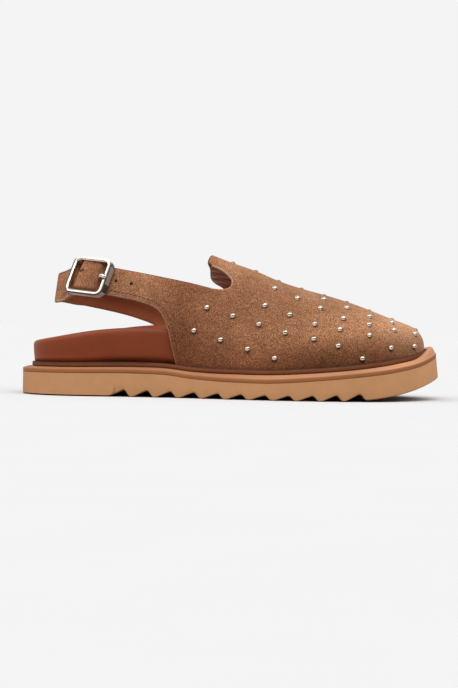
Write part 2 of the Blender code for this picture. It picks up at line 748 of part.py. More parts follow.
def main():
    clear_scene()
    parts = new_collection(NAME)
    cutters = new_collection(NAME + "_cutters")
    cutters.hide_render = True
    make_outsole(parts, material("sole_foam", SOLE_FOAM))
    make_midsole(parts, material("midsole_leather", MIDSOLE_LEATHER))
    make_welt(parts, material("welt_leather", WELT_LEATHER))
    make_footbed(parts, material("footbed_leather", FOOTBED_LEATHER))
    make_upper(parts, cutters, material("suede", SUEDE))
    nickel = material("nickel", NICKEL)
    make_buckle(parts, nickel)
    make_studs(parts, nickel)


main()
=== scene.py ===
"""Dresses the studded slingback clog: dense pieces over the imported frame, materials, light and camera.

Lengths are millimetres in the shoe's own frame: +X to the toe, +Y to the inner side, +Z up.
"""

import math

import bmesh
import bpy
import numpy as np
from mathutils import Matrix, Vector
from mathutils.geometry import delaunay_2d_cdt


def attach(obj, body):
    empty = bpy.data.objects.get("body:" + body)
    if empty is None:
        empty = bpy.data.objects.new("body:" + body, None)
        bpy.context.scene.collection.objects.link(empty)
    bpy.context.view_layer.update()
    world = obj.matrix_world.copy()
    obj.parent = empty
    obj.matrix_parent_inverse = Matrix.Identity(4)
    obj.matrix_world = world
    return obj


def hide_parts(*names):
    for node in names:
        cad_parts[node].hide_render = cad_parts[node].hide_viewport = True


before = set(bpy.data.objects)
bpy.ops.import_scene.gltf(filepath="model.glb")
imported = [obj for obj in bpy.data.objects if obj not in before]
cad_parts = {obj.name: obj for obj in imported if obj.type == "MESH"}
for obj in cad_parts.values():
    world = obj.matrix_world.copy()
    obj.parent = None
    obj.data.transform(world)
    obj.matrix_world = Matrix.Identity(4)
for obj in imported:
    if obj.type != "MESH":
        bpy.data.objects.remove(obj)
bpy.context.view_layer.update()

MM = 0.001
QUARTER = math.pi / 2


def table(columns, *rows):
    """Columns of numbers by name."""
    return {name: np.array(values, float) for name, values in zip(columns.split(), zip(*rows))}


# Sole: the same sections as the solids
HEEL_TIP, TOE_TIP = -136.0, 136.0
SEAT_GAP = 0.3
SOLE = table(
    "x centre half outsole_top crown_rise",
    (-136, 0, 36, 14.2, 0.9), (-100, 0, 37, 14.5, 0.9), (-60, -0.5, 36, 14.8, 1.2),
    (-39, -2.1, 36.2, 14.1, 1.3), (-28, -3, 37.1, 12.6, 1.5), (-14, -4.1, 39.1, 11.4, 1.8),
    (4, -4.6, 42.5, 10.7, 2.2), (20, -4, 46, 10.5, 2.3), (50, -1.2, 51, 12.4, 2), (75, 1.2, 51.2, 14.8, 1.9),
    (105, 4.5, 49, 18.8, 2.3), (125, 6.8, 45.9, 23.4, 2.4), (136, 8, 44, 28, 2.2),
)
HEEL_ROUND, HEEL_POWER = 42.0, 2.3
TOE_ROUND, TOE_POWER = 66.0, 2.2
TIP_FLAT = 0.02
TOE_DRAFT, TOE_DRAFT_LENGTH = 1.5, 30.0

# Tread: gaps with a long ramp, a roof and a steep side, and the spring of the toe
GAPS = table("x depth", (-68, 4.6), (-20, 3.7), (30, 3.1), (80, 4.1))
GAP_COUNT, GAP_FIRST, GAP_PITCH = 11, -67.6, 14.76
GAP_RAMP, GAP_ROOF, GAP_STEEP = 8.8, 1.0, 2.8
GAP_SOFTEN, GAP_SOFTEN_STEPS = 1.0, 9
SPRING_START, SPRING_HEIGHT, SPRING_POWER = 46.0, 15.2, 3.0
BOTTOM_EDGE, BOTTOM_EDGE_STEPS = 0.9, 6
# Share of a gap's depth left in the middle of the sole, and share of the width where the middle starts
GAP_MIDDLE, GAP_MIDDLE_ACROSS = 0.45, 0.35
HEEL_UNDERCUT = 7.0
HEEL_UNDERCUT_END, HEEL_UNDERCUT_FULL = -72.0, -80.0
OUTSOLE_SHARP = math.radians(50)

# Midsole from its lower edge over the flange: inset, lift over the base, share of the crown's rise
MIDSOLE_SIDE = 2.4
MIDSOLE_PROFILE = (
    (0.0, -SEAT_GAP, 0.0), (0.0, 0.4, 0.0), (-0.05, 1.2, 0.0), (0.0, 2.0, 0.0), (0.12, 2.28, 0.0),
    (0.4, 2.4, 0.02), (0.8, 2.4, 0.16), (1.6, 2.4, 0.48), (2.4, 2.4, 0.78), (3.2, 2.4, 0.95),
    (4.2, 2.4, 1.0), (12.0, 2.4, 1.0), (24.0, 2.4, 1.0),
)
MIDSOLE_SIDE_ROWS = 5
# The flange's lift at the toe: height, where it starts and where it is full
TOE_LIP, TOE_LIP_START, TOE_LIP_FULL = 3.4, TOE_TIP - 18.0, TOE_TIP - 5.0

WELT_HEIGHT = 2.8
WELT_OUTER, WELT_INNER = 5.8, 10.6
WELT_TOE_IN = 1.6
# Welt from the lower inner corner round: inset, lift
WELT_PROFILE = (
    (WELT_INNER, 0.0), (WELT_OUTER + 0.4, 0.0), (WELT_OUTER + 0.1, 0.3), (WELT_OUTER, 0.8), (WELT_OUTER, 1.8),
    (WELT_OUTER + 0.12, 2.3), (WELT_OUTER + 0.45, 2.65), (WELT_OUTER + 1.0, 2.8), (WELT_INNER, 2.8),
)
# Painted shade on the welt's top: the welt is dark after this row of its profile, behind a place along the
# shoe, and before it
WELT_DARK_FRONT, WELT_LIGHT_ROWS = -52.0, (3, 4)

FOOTBED = table(
    "x outer_rim inner_rim middle",
    (-130, 34, 33.5, 31.5), (-113, 37.2, 36.4, 31), (-86, 42, 41.4, 31.5), (-59, 44, 45.2, 33.5),
    (-39, 43.2, 46, 33), (-11, 35, 38, 28.5), (19, 26, 28, 23), (49, 23.5, 24.5, 21.8), (84, 26.5, 26.5, 25),
    (124, 35, 35, 34),
)
FOOTBED_INSET, FOOTBED_INSET_IN_UPPER = 6.5, 12.6
FOOTBED_STEP_START, FOOTBED_STEP_END = -104.0, -46.0
FOOTBED_LEAST_WALL = 1.5
FOOTBED_PLUG_INSET = 15.5
# Side of the footbed from the welt to the rim, then into the hollow: move in, share of wall, share of dish
FOOTBED_PROFILE = (
    (0.9, 0, 0), (0.6, 0.2, 0), (0.3, 0.4, 0), (0.1, 0.6, 0), (0, 0.76, 0), (0.1, 0.85, 0), (0.5, 0.92, 0),
    (1.1, 0.963, 0), (1.9, 0.988, 0), (2.8, 0.998, 0.01), (3.8, 1, 0.05), (5.5, 1, 0.18), (7.5, 1, 0.36),
    (10, 1, 0.57), (12.5, 1, 0.74), (15, 1, 0.86), (18, 1, 0.95), (23, 1, 1),
)

# Upper: the same sections and cut edges as the solid
UPPER = table(
    "x centre half ridge power ridge_shift",
    (-116.2, 0, 44, 89, 2, 0), (-81, 0, 42, 91, 2, 0), (-41, -1.5, 28.8, 99.5, 2.4, 1),
    (-13.7, -4, 31.6, 92, 2.3, 4), (-1, -4.6, 34.2, 87.4, 2.3, 5), (15, -4.2, 37.4, 82, 2.3, 5),
    (30, -3, 40.4, 75.9, 2.3, 4.5), (46, -1.4, 42.8, 71, 2.3, 4), (75, 1.3, 43.2, 63.2, 2.4, 3),
    (106, 4.7, 40.6, 52, 2.5, 2), (126.5, 7, 37.5, 45, 2.6, 1),
)
UPPER_HEEL_TIP, UPPER_HEEL_ROUND, UPPER_HEEL_POWER = -116.2, 78.0, 1.55
UPPER_TOE_TIP, UPPER_TOE_ROUND = 126.5, 58.0
UPPER_TOE_JOIN = UPPER_TOE_TIP - UPPER_TOE_ROUND
UPPER_TOE_DROP, UPPER_TOE_DROP_POWER = 11.5, 2.6
UPPER_WALL = 2.3
HEEL_LEAN = 0.13
HEEL_LEAN_HEIGHT = 65.0
HEEL_LEAN_FROM, HEEL_LEAN_FULL = -41.0, -96.0
# The strap's second layer
TAIL_THICK, TAIL_STEP = 1.0, 4.0
TAIL_BACK, TAIL_FRONT = -110.0, -87.0
# Cut edges seen from the side, x and z: the collar from the tongue back, the heel opening from the heel on
EDGE_POINTS = {
    "collar_outer": (
        (-14, 92.6), (-15.6, 88.2), (-14.4, 85.6), (-6.1, 81.8), (-0.3, 75.6), (-2.8, 69.8), (-11.9, 69.1),
        (-24, 71.8), (-46, 76.1), (-77, 81.9), (-87, 84.1), (-94, 84.8), (-100.5, 83.2), (-107, 79.6),
        (-126, 74),
    ),
    "collar_inner": (
        (-14, 92.6), (-15.6, 88.2), (-14.6, 84), (-13.6, 77), (-5.6, 71.4), (-4, 67.2), (-11, 66.4), (-24, 69),
        (-46, 73.5), (-77, 79.5), (-93, 81), (-107, 79), (-126, 74),
    ),
    "heel_outer": (
        (-126, 60.5), (-113, 61), (-107, 63.2), (-100.5, 66), (-93, 66.7), (-86, 66.2), (-79, 64.9),
        (-59, 60.9), (-47.5, 56), (-41.8, 47), (-38.4, 34.5), (-35.3, 21.9), (-33, 12),
    ),
    "heel_inner": (
        (-126, 60.5), (-114.6, 61.4), (-98.7, 58.6), (-77.5, 54.4), (-63.2, 50.5), (-51.2, 45.6), (-44, 37),
        (-39, 21.9), (-36, 12),
    ),
}
EDGE_STEP = 1.1
NOTCH_BACK = -25.0
STRAP_JOIN = -60.0
STRAP_ROWS, STRAP_COLUMNS = 18, 64
# The upper's mesh in flat coordinates: step, height of a row of triangles, clearance from the outline
MESH_STEP = 1.2
MESH_ROW = MESH_STEP * 0.866
MESH_CLEAR = 0.75 * MESH_STEP
TOE_STEPS = 41
GIRTH_RADIUS = 48.0
WELD = 0.02
# Worn-in troughs and ridges: middle, width, slant with height, length of a wave, height
CREASES = ((58.0, 26.0, 0.25, 5.2, 0.10), (-20.0, 22.0, -0.6, 7.5, 0.12))
# Ripples of the lining under the tongue: height, length, and where they start, are full and end
RIPPLE, RIPPLE_LENGTH = 0.35, 0.62
RIPPLE_START, RIPPLE_FULL, RIPPLE_END = 14.0, 2.0, -30.0
STRAP_LINING_FRONT = -40.0
STRAP_RIM_FRONT = -14.0
# Cut edges stand out in a half round, more at the back of the strap
RIM_BULGE, RIM_STEPS = 0.75, 5
REAR_ROLL, REAR_ROLL_FROM, REAR_ROLL_FULL = 0.8, -98.0, -106.0

# Buckle: its middle, its axes, its frame and the heights across at which the end bars rest on the strap
BUCKLE_X, BUCKLE_Z = -91.8, 73.6
BUCKLE_ALONG = (0.906, -0.410, -0.100)
BUCKLE_ACROSS = (0.250, 0.380, 0.885)
BUCKLE_LENGTH, BUCKLE_HEIGHT = 27.6, 26.8
BUCKLE_BAR, BUCKLE_DEPTH = 2.7, 6.4
BUCKLE_RESTS = (-8.0, 0.0, 7.0)
END_BAR = (BUCKLE_LENGTH - BUCKLE_BAR) / 2
CORNER_RADIUS, CORNER_LEAST, CORNER_STEPS = 5.0, 0.8, 9
FRAME_EDGE, FRAME_EDGE_STEPS = 0.9, 5
FRAME_SWELL = 0.15
FRAME_TAPER = 1.3
# Width of the fine line of painted dark reflection on top, and the places of the frame's front wall, by height
# across, that have a painted dark reflection; below them the wall has a painted highlight
FRAME_LINE = 0.45
WALL_DARK_ABOVE, WALL_DARK = 7.6, (-8.8, -3.6)
PRONG_RADIUS, PRONG_SPREAD, PRONG_SIDES = 0.9, 1.5, 16
PRONG_BACK, PRONG_BEND, PRONG_TIP = 6.4, 3.4, 1.2
PRONG_STEP = 0.4

# Padded strap in the buckle, in the buckle's axes
LOOP_LEFT, LOOP_RIGHT = -8.4, 12.4
LOOP_LOW, LOOP_HIGH = -8.2, 10.6
LOOP_SLANT = 0.13
LOOP_ROUND, LOOP_STEPS = 1.1, 46
LOOP_RISE, LOOP_END_RISE, LOOP_TILT = 4.9, 1.1, 0.06
LOOP_FALL, LOOP_FALL_END = 5.0, LOOP_RIGHT - 1.5
LOOP_SINK, LOOP_LEAST = 0.5, 0.2
LOOP_SHARP = math.radians(60)
# Slot punched in it: middle, half length and half width, cosine and sine of its turn, shares of its rings
SLOT = (-5.9, 3.3)
SLOT_HALF = (1.6, 0.75)
SLOT_TURN = (0.75, 0.66)
SLOT_RINGS, SLOT_SIDES = (1.0, 0.8, 0.05), 24
SLOT_LIFT = 0.12

# Studs: first x and z, last x and z, and count of each row of a side; the ridge row by x and turn
STUD_ROWS = (
    (26.5, 70.3, 69.9, 51.9, 4), (86.4, 48.2, 103.1, 45, 2), (58.2, 63.9, 87.4, 53.3, 3),
    (102.5, 49.7, 118.1, 42.8, 2), (20.2, 59.2, 51.6, 48, 3), (67.5, 45, 86.3, 41.6, 2),
    (-16.4, 57.3, 33.1, 42.3, 4), (51, 38.7, 66.3, 34.6, 2), (-24.3, 42.5, 26.6, 26.2, 4),
    (81.7, 26.9, 81.7, 26.9, 1), (100.4, 33.8, 116.9, 34.9, 2),
)
RIDGE_STUDS = 9
RIDGE_STUD_X, RIDGE_STUD_TURN = (-0.5, 121.4), (0.14, 0.24)
STUD_RADIUS, STUD_HEIGHT, STUD_SIDES = 1.95, 1.8, 24
STUD_SINK, STUD_FOOT, STUD_COLLAR = 0.3, 0.96, 0.1
STUD_DOME = np.linspace(0.12, 1.0, 8) * QUARTER
# Painted shade: the side of a stud that turns away from this direction is darker
STUD_LIGHT = (-0.38, -0.10, 0.92)
STUD_SHADE, RIDGE_SHADE = -0.22, 0.75

# Strap holes, x and z; rings of a hole and of a stitch: radius and lift, share of length and of radius
STRAP_HOLES = ((-75.0, 73.4), (-65.0, 71.7))
HOLE_RINGS, HOLE_SIDES = ((1.05, 0.02), (0.945, 0.08), (0.05, 0.06)), 20
STITCH_LENGTH, STITCH_PITCH, STITCH_RADIUS = 2.0, 2.8, 0.28
STITCH_RINGS, STITCH_SIDES = ((-0.5, 0.35), (-0.3, 0.9), (0.0, 1.0), (0.3, 0.9), (0.5, 0.35)), 6
STITCH_INSET, STITCH_LIFT = 2.6, 0.12
STITCH_OVER_WELT, STITCH_FROM_HEEL = 1.0, 4.0

# Camera: distance in front of the shoe, height, aim and roll; image height at the shoe's middle
CAMERA_X, CAMERA_DISTANCE, CAMERA_HEIGHT = -2.0, 900.0, 45.0
AIM_HEIGHT = 34.1
CAMERA_ROLL = math.radians(1.05)
IMAGE_HEIGHT = 450.9
SENSOR = 36.0
# Studio light: brightness of the sky from straight down to straight up, what polished metal sees of it in front
# of the shoe, what the floor throws back, the backdrop, and the soft lights: name, strength, angular size, turn
SKY = ((0.0, 0.10), (0.5, 0.10), (0.62, 0.24), (0.8, 0.50), (1.0, 1.0))
SKY_IN_METAL = 0.07
FLOOR_BOUNCE = 0.19
FLOOR_HALF = 30000.0
BACKDROP = 0.905
BACKDROP_FROM, BACKDROP_FULL = 0.1, 0.6
SUNS = (
    ("key_light", 1.35, 30, (36, 0, -10)),
    ("fill_light", 1.05, 50, (36, 0, 60)),
    ("heel_light", 0.55, 40, (62, 0, -80)),
    ("glint_light", 0.30, 30, (42, 0, -56)),
)

# Tones along an axis: stops of place and tone. Painted light and shade on the suede: darker on the quarter and
# by the welt, lighter to the toe
PLAIN = (1.0, 1.0, 1.0)
ALONG, UP = (1.0, 0.0, 0.0), (0.0, 0.0, 1.0)
SUEDE_PAINTED_LIGHT_AND_SHADE = (
    (
        ALONG,
        (
            (-90.0, (0.96, 0.95, 0.94)), (-58.0, (0.85, 0.84, 0.83)), (-32.0, (0.68, 0.60, 0.55)),
            (10.0, (0.98, 0.96, 0.94)), (60.0, (1.06, 1.09, 1.08)), (110.0, (1.34, 1.45, 1.47)),
        ),
    ),
    ((-0.085, 0.0, 1.0), ((17.0, (0.52, 0.42, 0.37)), (22.0, (0.70, 0.60, 0.54)), (40.0, PLAIN))),
)
# Soft round painted light and shade on the suede, seen from the side: x and z of the middle, radius, tone
SUEDE_PAINTED_LIGHT_SPOTS = (
    (24.0, 72.0, 36.0, (0.74, 0.73, 0.72)), (62.0, 61.0, 27.0, (0.78, 0.77, 0.76)),
    (2.0, 60.0, 28.0, (0.83, 0.82, 0.83)), (44.0, 58.0, 24.0, (0.85, 0.84, 0.83)),
    (66.0, 42.0, 24.0, (1.12, 1.15, 1.12)), (-2.0, 85.0, 20.0, (1.25, 1.38, 1.42)),
    (24.0, 79.0, 16.0, (1.14, 1.24, 1.24)), (48.0, 69.0, 13.0, (1.18, 1.28, 1.34)),
    (-46.0, 74.0, 26.0, (1.18, 1.19, 1.20)), (-32.0, 34.0, 26.0, (0.86, 0.77, 0.73)),
    (116.0, 39.0, 28.0, (1.18, 1.32, 1.42)),
)
# Painted shade above the welt towards the toe: x and tone; height at x = 0 and slope of their line, radius
LOW_SPOTS = ((36, 0.86), (50, 0.70), (64, 0.68), (78, 0.68), (92, 0.73), (106, 0.80), (118, 0.92))
LOW_SPOT_HEIGHT, LOW_SPOT_SLOPE, LOW_SPOT_RADIUS = 20.3, 0.095, 18.0
SUEDE_PAINTED_LIGHT_SPOTS += tuple(
    (x, LOW_SPOT_HEIGHT + LOW_SPOT_SLOPE * x, LOW_SPOT_RADIUS, (tone, tone - 0.03, tone - 0.05))
    for x, tone in LOW_SPOTS
)
# Painted light and shade of the lining's folds under the tongue, as light and dark bands
FOLD_LOW, FOLD_STEP, FOLDS = 70.0, 0.95, 16
FOLD_PAINTED_TONES = ((0.72, 0.68, 0.66), (1.34, 1.36, 1.38))
FOLD_PAINTED_LIGHT_AND_SHADE = ((0.28, 0.0, 1.0), tuple((FOLD_LOW + FOLD_STEP * k, FOLD_PAINTED_TONES[k % 2]) for k in range(FOLDS)))
# Painted shade on the strap's loop, darker towards the frame's right bar
LOOP_PAINTED_SHADE = (ALONG, ((-99.0, (0.97, 0.95, 0.93)), (-83.0, (0.70, 0.66, 0.64))))
# Painted shadow on the strap's lining: darker higher up under the near strap, a little lighter below
LINING_PAINTED_SHADE = ((0.27, 0.0, 1.0), ((32.0, (1.08, 1.16, 1.16)), (41.0, (0.58, 0.48, 0.42))))
# Painted light on the midsole's flange: toned down at the heel, lighter towards the toe
FLANGE_PAINTED_LIGHT = (
    ALONG,
    (
        (-60.0, (0.53, 0.50, 0.47)), (-5.0, (0.58, 0.56, 0.53)), (30.0, (0.66, 0.66, 0.68)),
        (75.0, (0.63, 0.64, 0.66)), (112.0, (0.82, 0.84, 0.86)),
    ),
)
# Painted light on the sole foam towards the toe
FOAM_PAINTED_LIGHT = (ALONG, ((78.0, PLAIN), (128.0, (1.16, 1.17, 1.17))))
# Painted light low on the footbed's wall, lifting the shade there
FOOTBED_PAINTED_LIGHT = (UP, ((22.5, (1.35, 1.35, 1.35)), (26.0, PLAIN)))

# Looks by name. Suede: dark, middle and light colour, tones
SUEDE = ((0.19, 0.070, 0.032), (0.335, 0.143, 0.071), (0.55, 0.274, 0.147))
SUEDES = {
    "suede": SUEDE,
    "suede_edge": ((0.44, 0.235, 0.135), (0.60, 0.35, 0.22), (0.76, 0.49, 0.33)),
    "suede_rim": ((0.10, 0.036, 0.017), (0.165, 0.064, 0.031), (0.26, 0.115, 0.058)),
    "suede_loop": (*SUEDE, LOOP_PAINTED_SHADE),
    "thread": ((0.14, 0.06, 0.03), (0.22, 0.10, 0.05), (0.34, 0.17, 0.09)),
}
# Leather: dark and light colour, roughness, tones, size of the grain
LEATHERS = {
    # The vamp lining is paler than its own colour, as painted light in the shaded lining under the tongue
    "vamp_lining": ((0.72, 0.40, 0.30), (0.92, 0.56, 0.44), 0.7, FOLD_PAINTED_LIGHT_AND_SHADE),
    "strap_lining": ((0.36, 0.10, 0.042), (0.46, 0.135, 0.058), 0.55, LINING_PAINTED_SHADE),
    "footbed_leather": ((0.225, 0.042, 0.0105), (0.285, 0.056, 0.0148), 0.5, FOOTBED_PAINTED_LIGHT),
    "welt_leather": ((0.155, 0.045, 0.013), (0.215, 0.066, 0.020), 0.6),
    # The welt's top: painted shade
    "welt_dark": ((0.062, 0.017, 0.006), (0.09, 0.026, 0.010), 0.7),
    "midsole_side": ((0.345, 0.122, 0.042), (0.41, 0.150, 0.053), 0.6, None, 0.5),
    # The flange: the side's leather made lighter, as painted light
    "midsole_flange": ((0.62, 0.285, 0.135), (0.72, 0.345, 0.17), 0.6, FLANGE_PAINTED_LIGHT, 0.5),
    # Holes and the slot: painted shade
    "slot_dark": ((0.045, 0.018, 0.010), (0.07, 0.03, 0.016), 0.9),
    "hole_dark": ((0.010, 0.006, 0.004), (0.02, 0.012, 0.008), 0.9),
}
# Metal: colour, roughness, how metallic
METALS = {
    "nickel": ((0.82, 0.76, 0.67), 0.14),
    "nickel_satin": ((0.52, 0.485, 0.43), 0.36, 0.4),
    # A dark reflection and a highlight painted on the buckle frame
    "nickel_tarnish": ((0.10, 0.09, 0.08), 0.4, 0.6),
    "nickel_pale": ((0.90, 0.86, 0.80), 0.3, 0.15),
    "stud_nickel": ((0.79, 0.675, 0.565), 0.15),
    # Painted shade on the studs
    "stud_shade": ((0.30, 0.235, 0.185), 0.22),
}
FOAM = ((0.59, 0.29, 0.128), (0.685, 0.34, 0.156))


def at(sections, column, x):
    """Smooth value of one column at x: a cubic between rows, with slopes from the rows on either side."""
    xs = sections["x"]
    values = sections[column]
    slopes = np.gradient(values, xs)
    x = np.clip(x, xs[0], xs[-1])
    i = np.clip(np.searchsorted(xs, x, side="right") - 1, 0, len(xs) - 2)
    span = xs[i + 1] - xs[i]
    t = (x - xs[i]) / span
    start = values[i] * (1 + 2 * t) * (1 - t) ** 2 + slopes[i] * span * t * (1 - t) ** 2
    end = values[i + 1] * t * t * (3 - 2 * t) - slopes[i + 1] * span * t * t * (1 - t)
    return start + end


def smooth_step(low, high, x):
    t = np.clip((np.asarray(x, float) - low) / (high - low), 0.0, 1.0)
    return t * t * (3 - 2 * t)


def rounded_end(distance, length, power):
    """Share of the full width at a distance from a rounded tip."""
    left = np.clip(1 - (distance + TIP_FLAT) / length, 0.0, 1.0)
    return (1 - left**power) ** (1 / power)


def stations(start, end, first_round=HEEL_ROUND, last_round=TOE_ROUND, round_count=40, step=2.5):
    """Stations from start to end, close together over the rounded lengths at the two tips."""
    angles = np.linspace(0, QUARTER, round_count)
    first = start + first_round * (1 - np.cos(angles))
    last = end - last_round * (1 - np.cos(angles[::-1]))
    count = max(2, int((last[0] - first[-1]) / step))
    return np.concatenate([first, np.linspace(first[-1], last[0], count)[1:-1], last])


def unit(vectors):
    return vectors / np.maximum(np.linalg.norm(vectors, axis=-1, keepdims=True), 1e-9)


def circle(side, other, count):
    """Points round the unit circle that two vectors span."""
    turns = np.linspace(0, 2 * math.pi, count, endpoint=False)
    return np.cos(turns)[:, None] * side + np.sin(turns)[:, None] * other


def sole_edges(x, inset):
    """Outer and inner y of the sole's plan outline, moved in by inset."""
    share = rounded_end(x - (HEEL_TIP + inset), HEEL_ROUND - inset, HEEL_POWER)
    share = share * rounded_end(TOE_TIP - inset - x, TOE_ROUND - inset, TOE_POWER)
    half = (at(SOLE, "half", x) - inset) * share
    centre = at(SOLE, "centre", x)
    return centre - half, centre + half


def tread_spring(x):
    """How far the underside turns up to the toe."""
    return SPRING_HEIGHT * np.maximum(0.0, (x - SPRING_START) / (TOE_TIP - SPRING_START)) ** SPRING_POWER


def tread_height(x):
    """Underside of the outsole: flat, cut by the ripple gaps and turned up at the toe."""
    cut = np.zeros_like(x)
    for k in range(GAP_COUNT):
        peak = GAP_FIRST + k * GAP_PITCH
        ramp = (x - (peak - GAP_ROOF / 2 - GAP_RAMP)) / GAP_RAMP
        steep = (peak + GAP_ROOF / 2 + GAP_STEEP - x) / GAP_STEEP
        cut = np.maximum(cut, at(GAPS, "depth", peak) * np.minimum(1.0, np.minimum(ramp, steep)))
    return tread_spring(x) + cut


def soft_tread_height(x):
    """The tread with its corners softened."""
    shifts = np.linspace(-GAP_SOFTEN, GAP_SOFTEN, GAP_SOFTEN_STEPS)
    return np.mean([tread_height(x + shift) for shift in shifts], axis=0)


def midsole_base(x):
    return at(SOLE, "outsole_top", x) + SEAT_GAP


def midsole_crown(x):
    return midsole_base(x) + MIDSOLE_SIDE + at(SOLE, "crown_rise", x)


def welt_base(x):
    return midsole_crown(x) + SEAT_GAP


def welt_top(x):
    return welt_base(x) + WELT_HEIGHT


def feather(x):
    return welt_top(x) + SEAT_GAP


def linked(name, data):
    made = bpy.data.objects.new(name, data)
    bpy.context.scene.collection.objects.link(made)
    return made


def mesh_object(name, points, faces, looks, face_looks=None):
    """A smooth-shaded mesh object from points in millimetres."""
    mesh = bpy.data.meshes.new(name)
    mesh.from_pydata((np.asarray(points) * MM).tolist(), [], faces)
    for look in looks:
        mesh.materials.append(look)
    if face_looks is not None:
        mesh.polygons.foreach_set("material_index", face_looks)
    mesh.validate()
    mesh.shade_smooth()
    return linked(name, mesh)


def face_outward(made):
    """Weld points that coincide and turn every face outward."""
    bm = bmesh.new()
    bm.from_mesh(made.data)
    bmesh.ops.remove_doubles(bm, verts=bm.verts, dist=1e-7)
    bmesh.ops.recalc_face_normals(bm, faces=bm.faces)
    bm.to_mesh(made.data)
    bm.free()
    return made


def ring_faces(loops, count, closed=False, whole=True):
    """Quads between loops of count points; closed: the last to the first too; whole: all the way round."""
    faces = []
    for a in range(loops if closed else loops - 1):
        b = (a + 1) % loops
        for i in range(count if whole else count - 1):
            j = (i + 1) % count
            faces.append((a * count + i, a * count + j, b * count + j, b * count + i))
    return faces


def end_caps(loops, count):
    """One face over the first loop and one over the last."""
    return [tuple(range(count)), tuple(range((loops - 1) * count, loops * count))]


def joined(copies, faces):
    """Points of all copies of one mesh, and the faces of all of them."""
    starts = range(0, len(copies) * len(copies[0]), len(copies[0]))
    return np.concatenate(copies), [tuple(i + start for i in face) for start in starts for face in faces]


def bars_across(start, count):
    """Quads from side to side that close one loop round the plan."""
    last = start + count - 1
    return [(start + i, start + i + 1, last - 1 - i, last - i) for i in range(count // 2 - 1)]


def plan_loop(inset, height):
    """Closed loop round the sole's plan at an inset, at the height that a function of x gives."""
    x = stations(HEEL_TIP + inset, TOE_TIP - inset)
    outer, inner = sole_edges(x, inset)
    z = height(x)
    return np.concatenate([np.stack([x, outer, z], 1), np.stack([x, inner, z], 1)[::-1]])


def equal_loops(loops):
    """Loops resampled by share of length, so that all have the count of the first."""
    wanted = np.linspace(0, 1, len(loops[0]) // 2)
    made = []
    for loop in loops:
        sides = []
        for side in np.split(loop, 2):
            share = np.linspace(0, 1, len(side))
            sides.append(np.stack([np.interp(wanted, share, values) for values in side.T], 1))
        made.append(np.concatenate(sides))
    return made


def plan_solid(name, loops, looks, first_rows=0):
    """A solid skinned over loops round the plan, closed across; its first rows have the first look."""
    loops = equal_loops(loops)
    count = len(loops[0])
    faces = ring_faces(len(loops), count)
    last_look = len(looks) - 1
    face_looks = [0 if k // count < first_rows else last_look for k in range(len(faces))]
    caps = bars_across(0, count) + bars_across((len(loops) - 1) * count, count)
    face_looks += [last_look] * len(caps)
    return face_outward(mesh_object(name, np.concatenate(loops), faces + caps, looks, face_looks))


def toe_draft(x):
    """How far the top of the sole is drawn in at the toe's tip."""
    return TOE_DRAFT * smooth_step(TOE_TIP - TOE_DRAFT_LENGTH, TOE_TIP, x)


def make_outsole(looks):
    """Foam sole: sections across the shoe under a millimetre apart, with softened tread and lower edges."""
    x = stations(HEEL_TIP, TOE_TIP, first_round=12.0, last_round=20.0, round_count=24, step=0.8)
    outer, inner = sole_edges(x, 0.0)
    width = inner - outer
    low, top = soft_tread_height(x), at(SOLE, "outsole_top", x)
    edge = np.minimum(BOTTOM_EDGE, width / 6)
    middle = tread_spring(x) + (low - tread_spring(x)) * GAP_MIDDLE
    under = smooth_step(HEEL_UNDERCUT_END, HEEL_UNDERCUT_FULL, x)
    reach = np.minimum(HEEL_UNDERCUT, width / 4)
    half = [(width * GAP_MIDDLE_ACROSS, middle)]
    for turn in np.linspace(0, QUARTER, BOTTOM_EDGE_STEPS):
        rounded = (edge * (1 - np.sin(turn)), edge * (1 - np.cos(turn)))
        undercut = (reach * (1 - turn / QUARTER), edge * math.sin(turn))
        move_in, lift = (a + (b - a) * under for a, b in zip(rounded, undercut))
        half.append((move_in, low + lift))
    half += [(0.0, (low + edge + top) / 2), (0.0, top)]
    columns = [(outer + move_in, z) for move_in, z in half]
    columns += [(inner - move_in, z) for move_in, z in half[::-1]]
    points = np.stack([np.stack([x, y, z], 1) for y, z in columns], 1)
    rise = np.clip((points[:, :, 2] - low[:, None]) / (top - low)[:, None], 0, 1)
    points[:, :, 0] -= toe_draft(points[:, :, 0]) * rise
    loops, count = points.shape[:2]
    faces = ring_faces(loops, count) + end_caps(loops, count)
    made = face_outward(mesh_object("outsole_dressed", points.reshape(-1, 3), faces, looks))
    made.data.set_sharp_from_angle(angle=OUTSOLE_SHARP)
    return made


def make_midsole(looks):
    """Midsole: a darker side, a crisp rounded edge and a flange that slopes up to the welt, the side's leather
    made lighter there as painted light.
    """
    loops = []
    for inset, lift, share in MIDSOLE_PROFILE:
        def height(x, lift=lift, share=share):
            rise = at(SOLE, "crown_rise", x) + TOE_LIP * smooth_step(TOE_LIP_START, TOE_LIP_FULL, x)
            return midsole_base(x) + lift + rise * share
        loop = plan_loop(inset, height)
        loop[:, 0] -= toe_draft(loop[:, 0])
        loops.append(loop)
    return plan_solid("midsole_dressed", loops, looks, MIDSOLE_SIDE_ROWS)


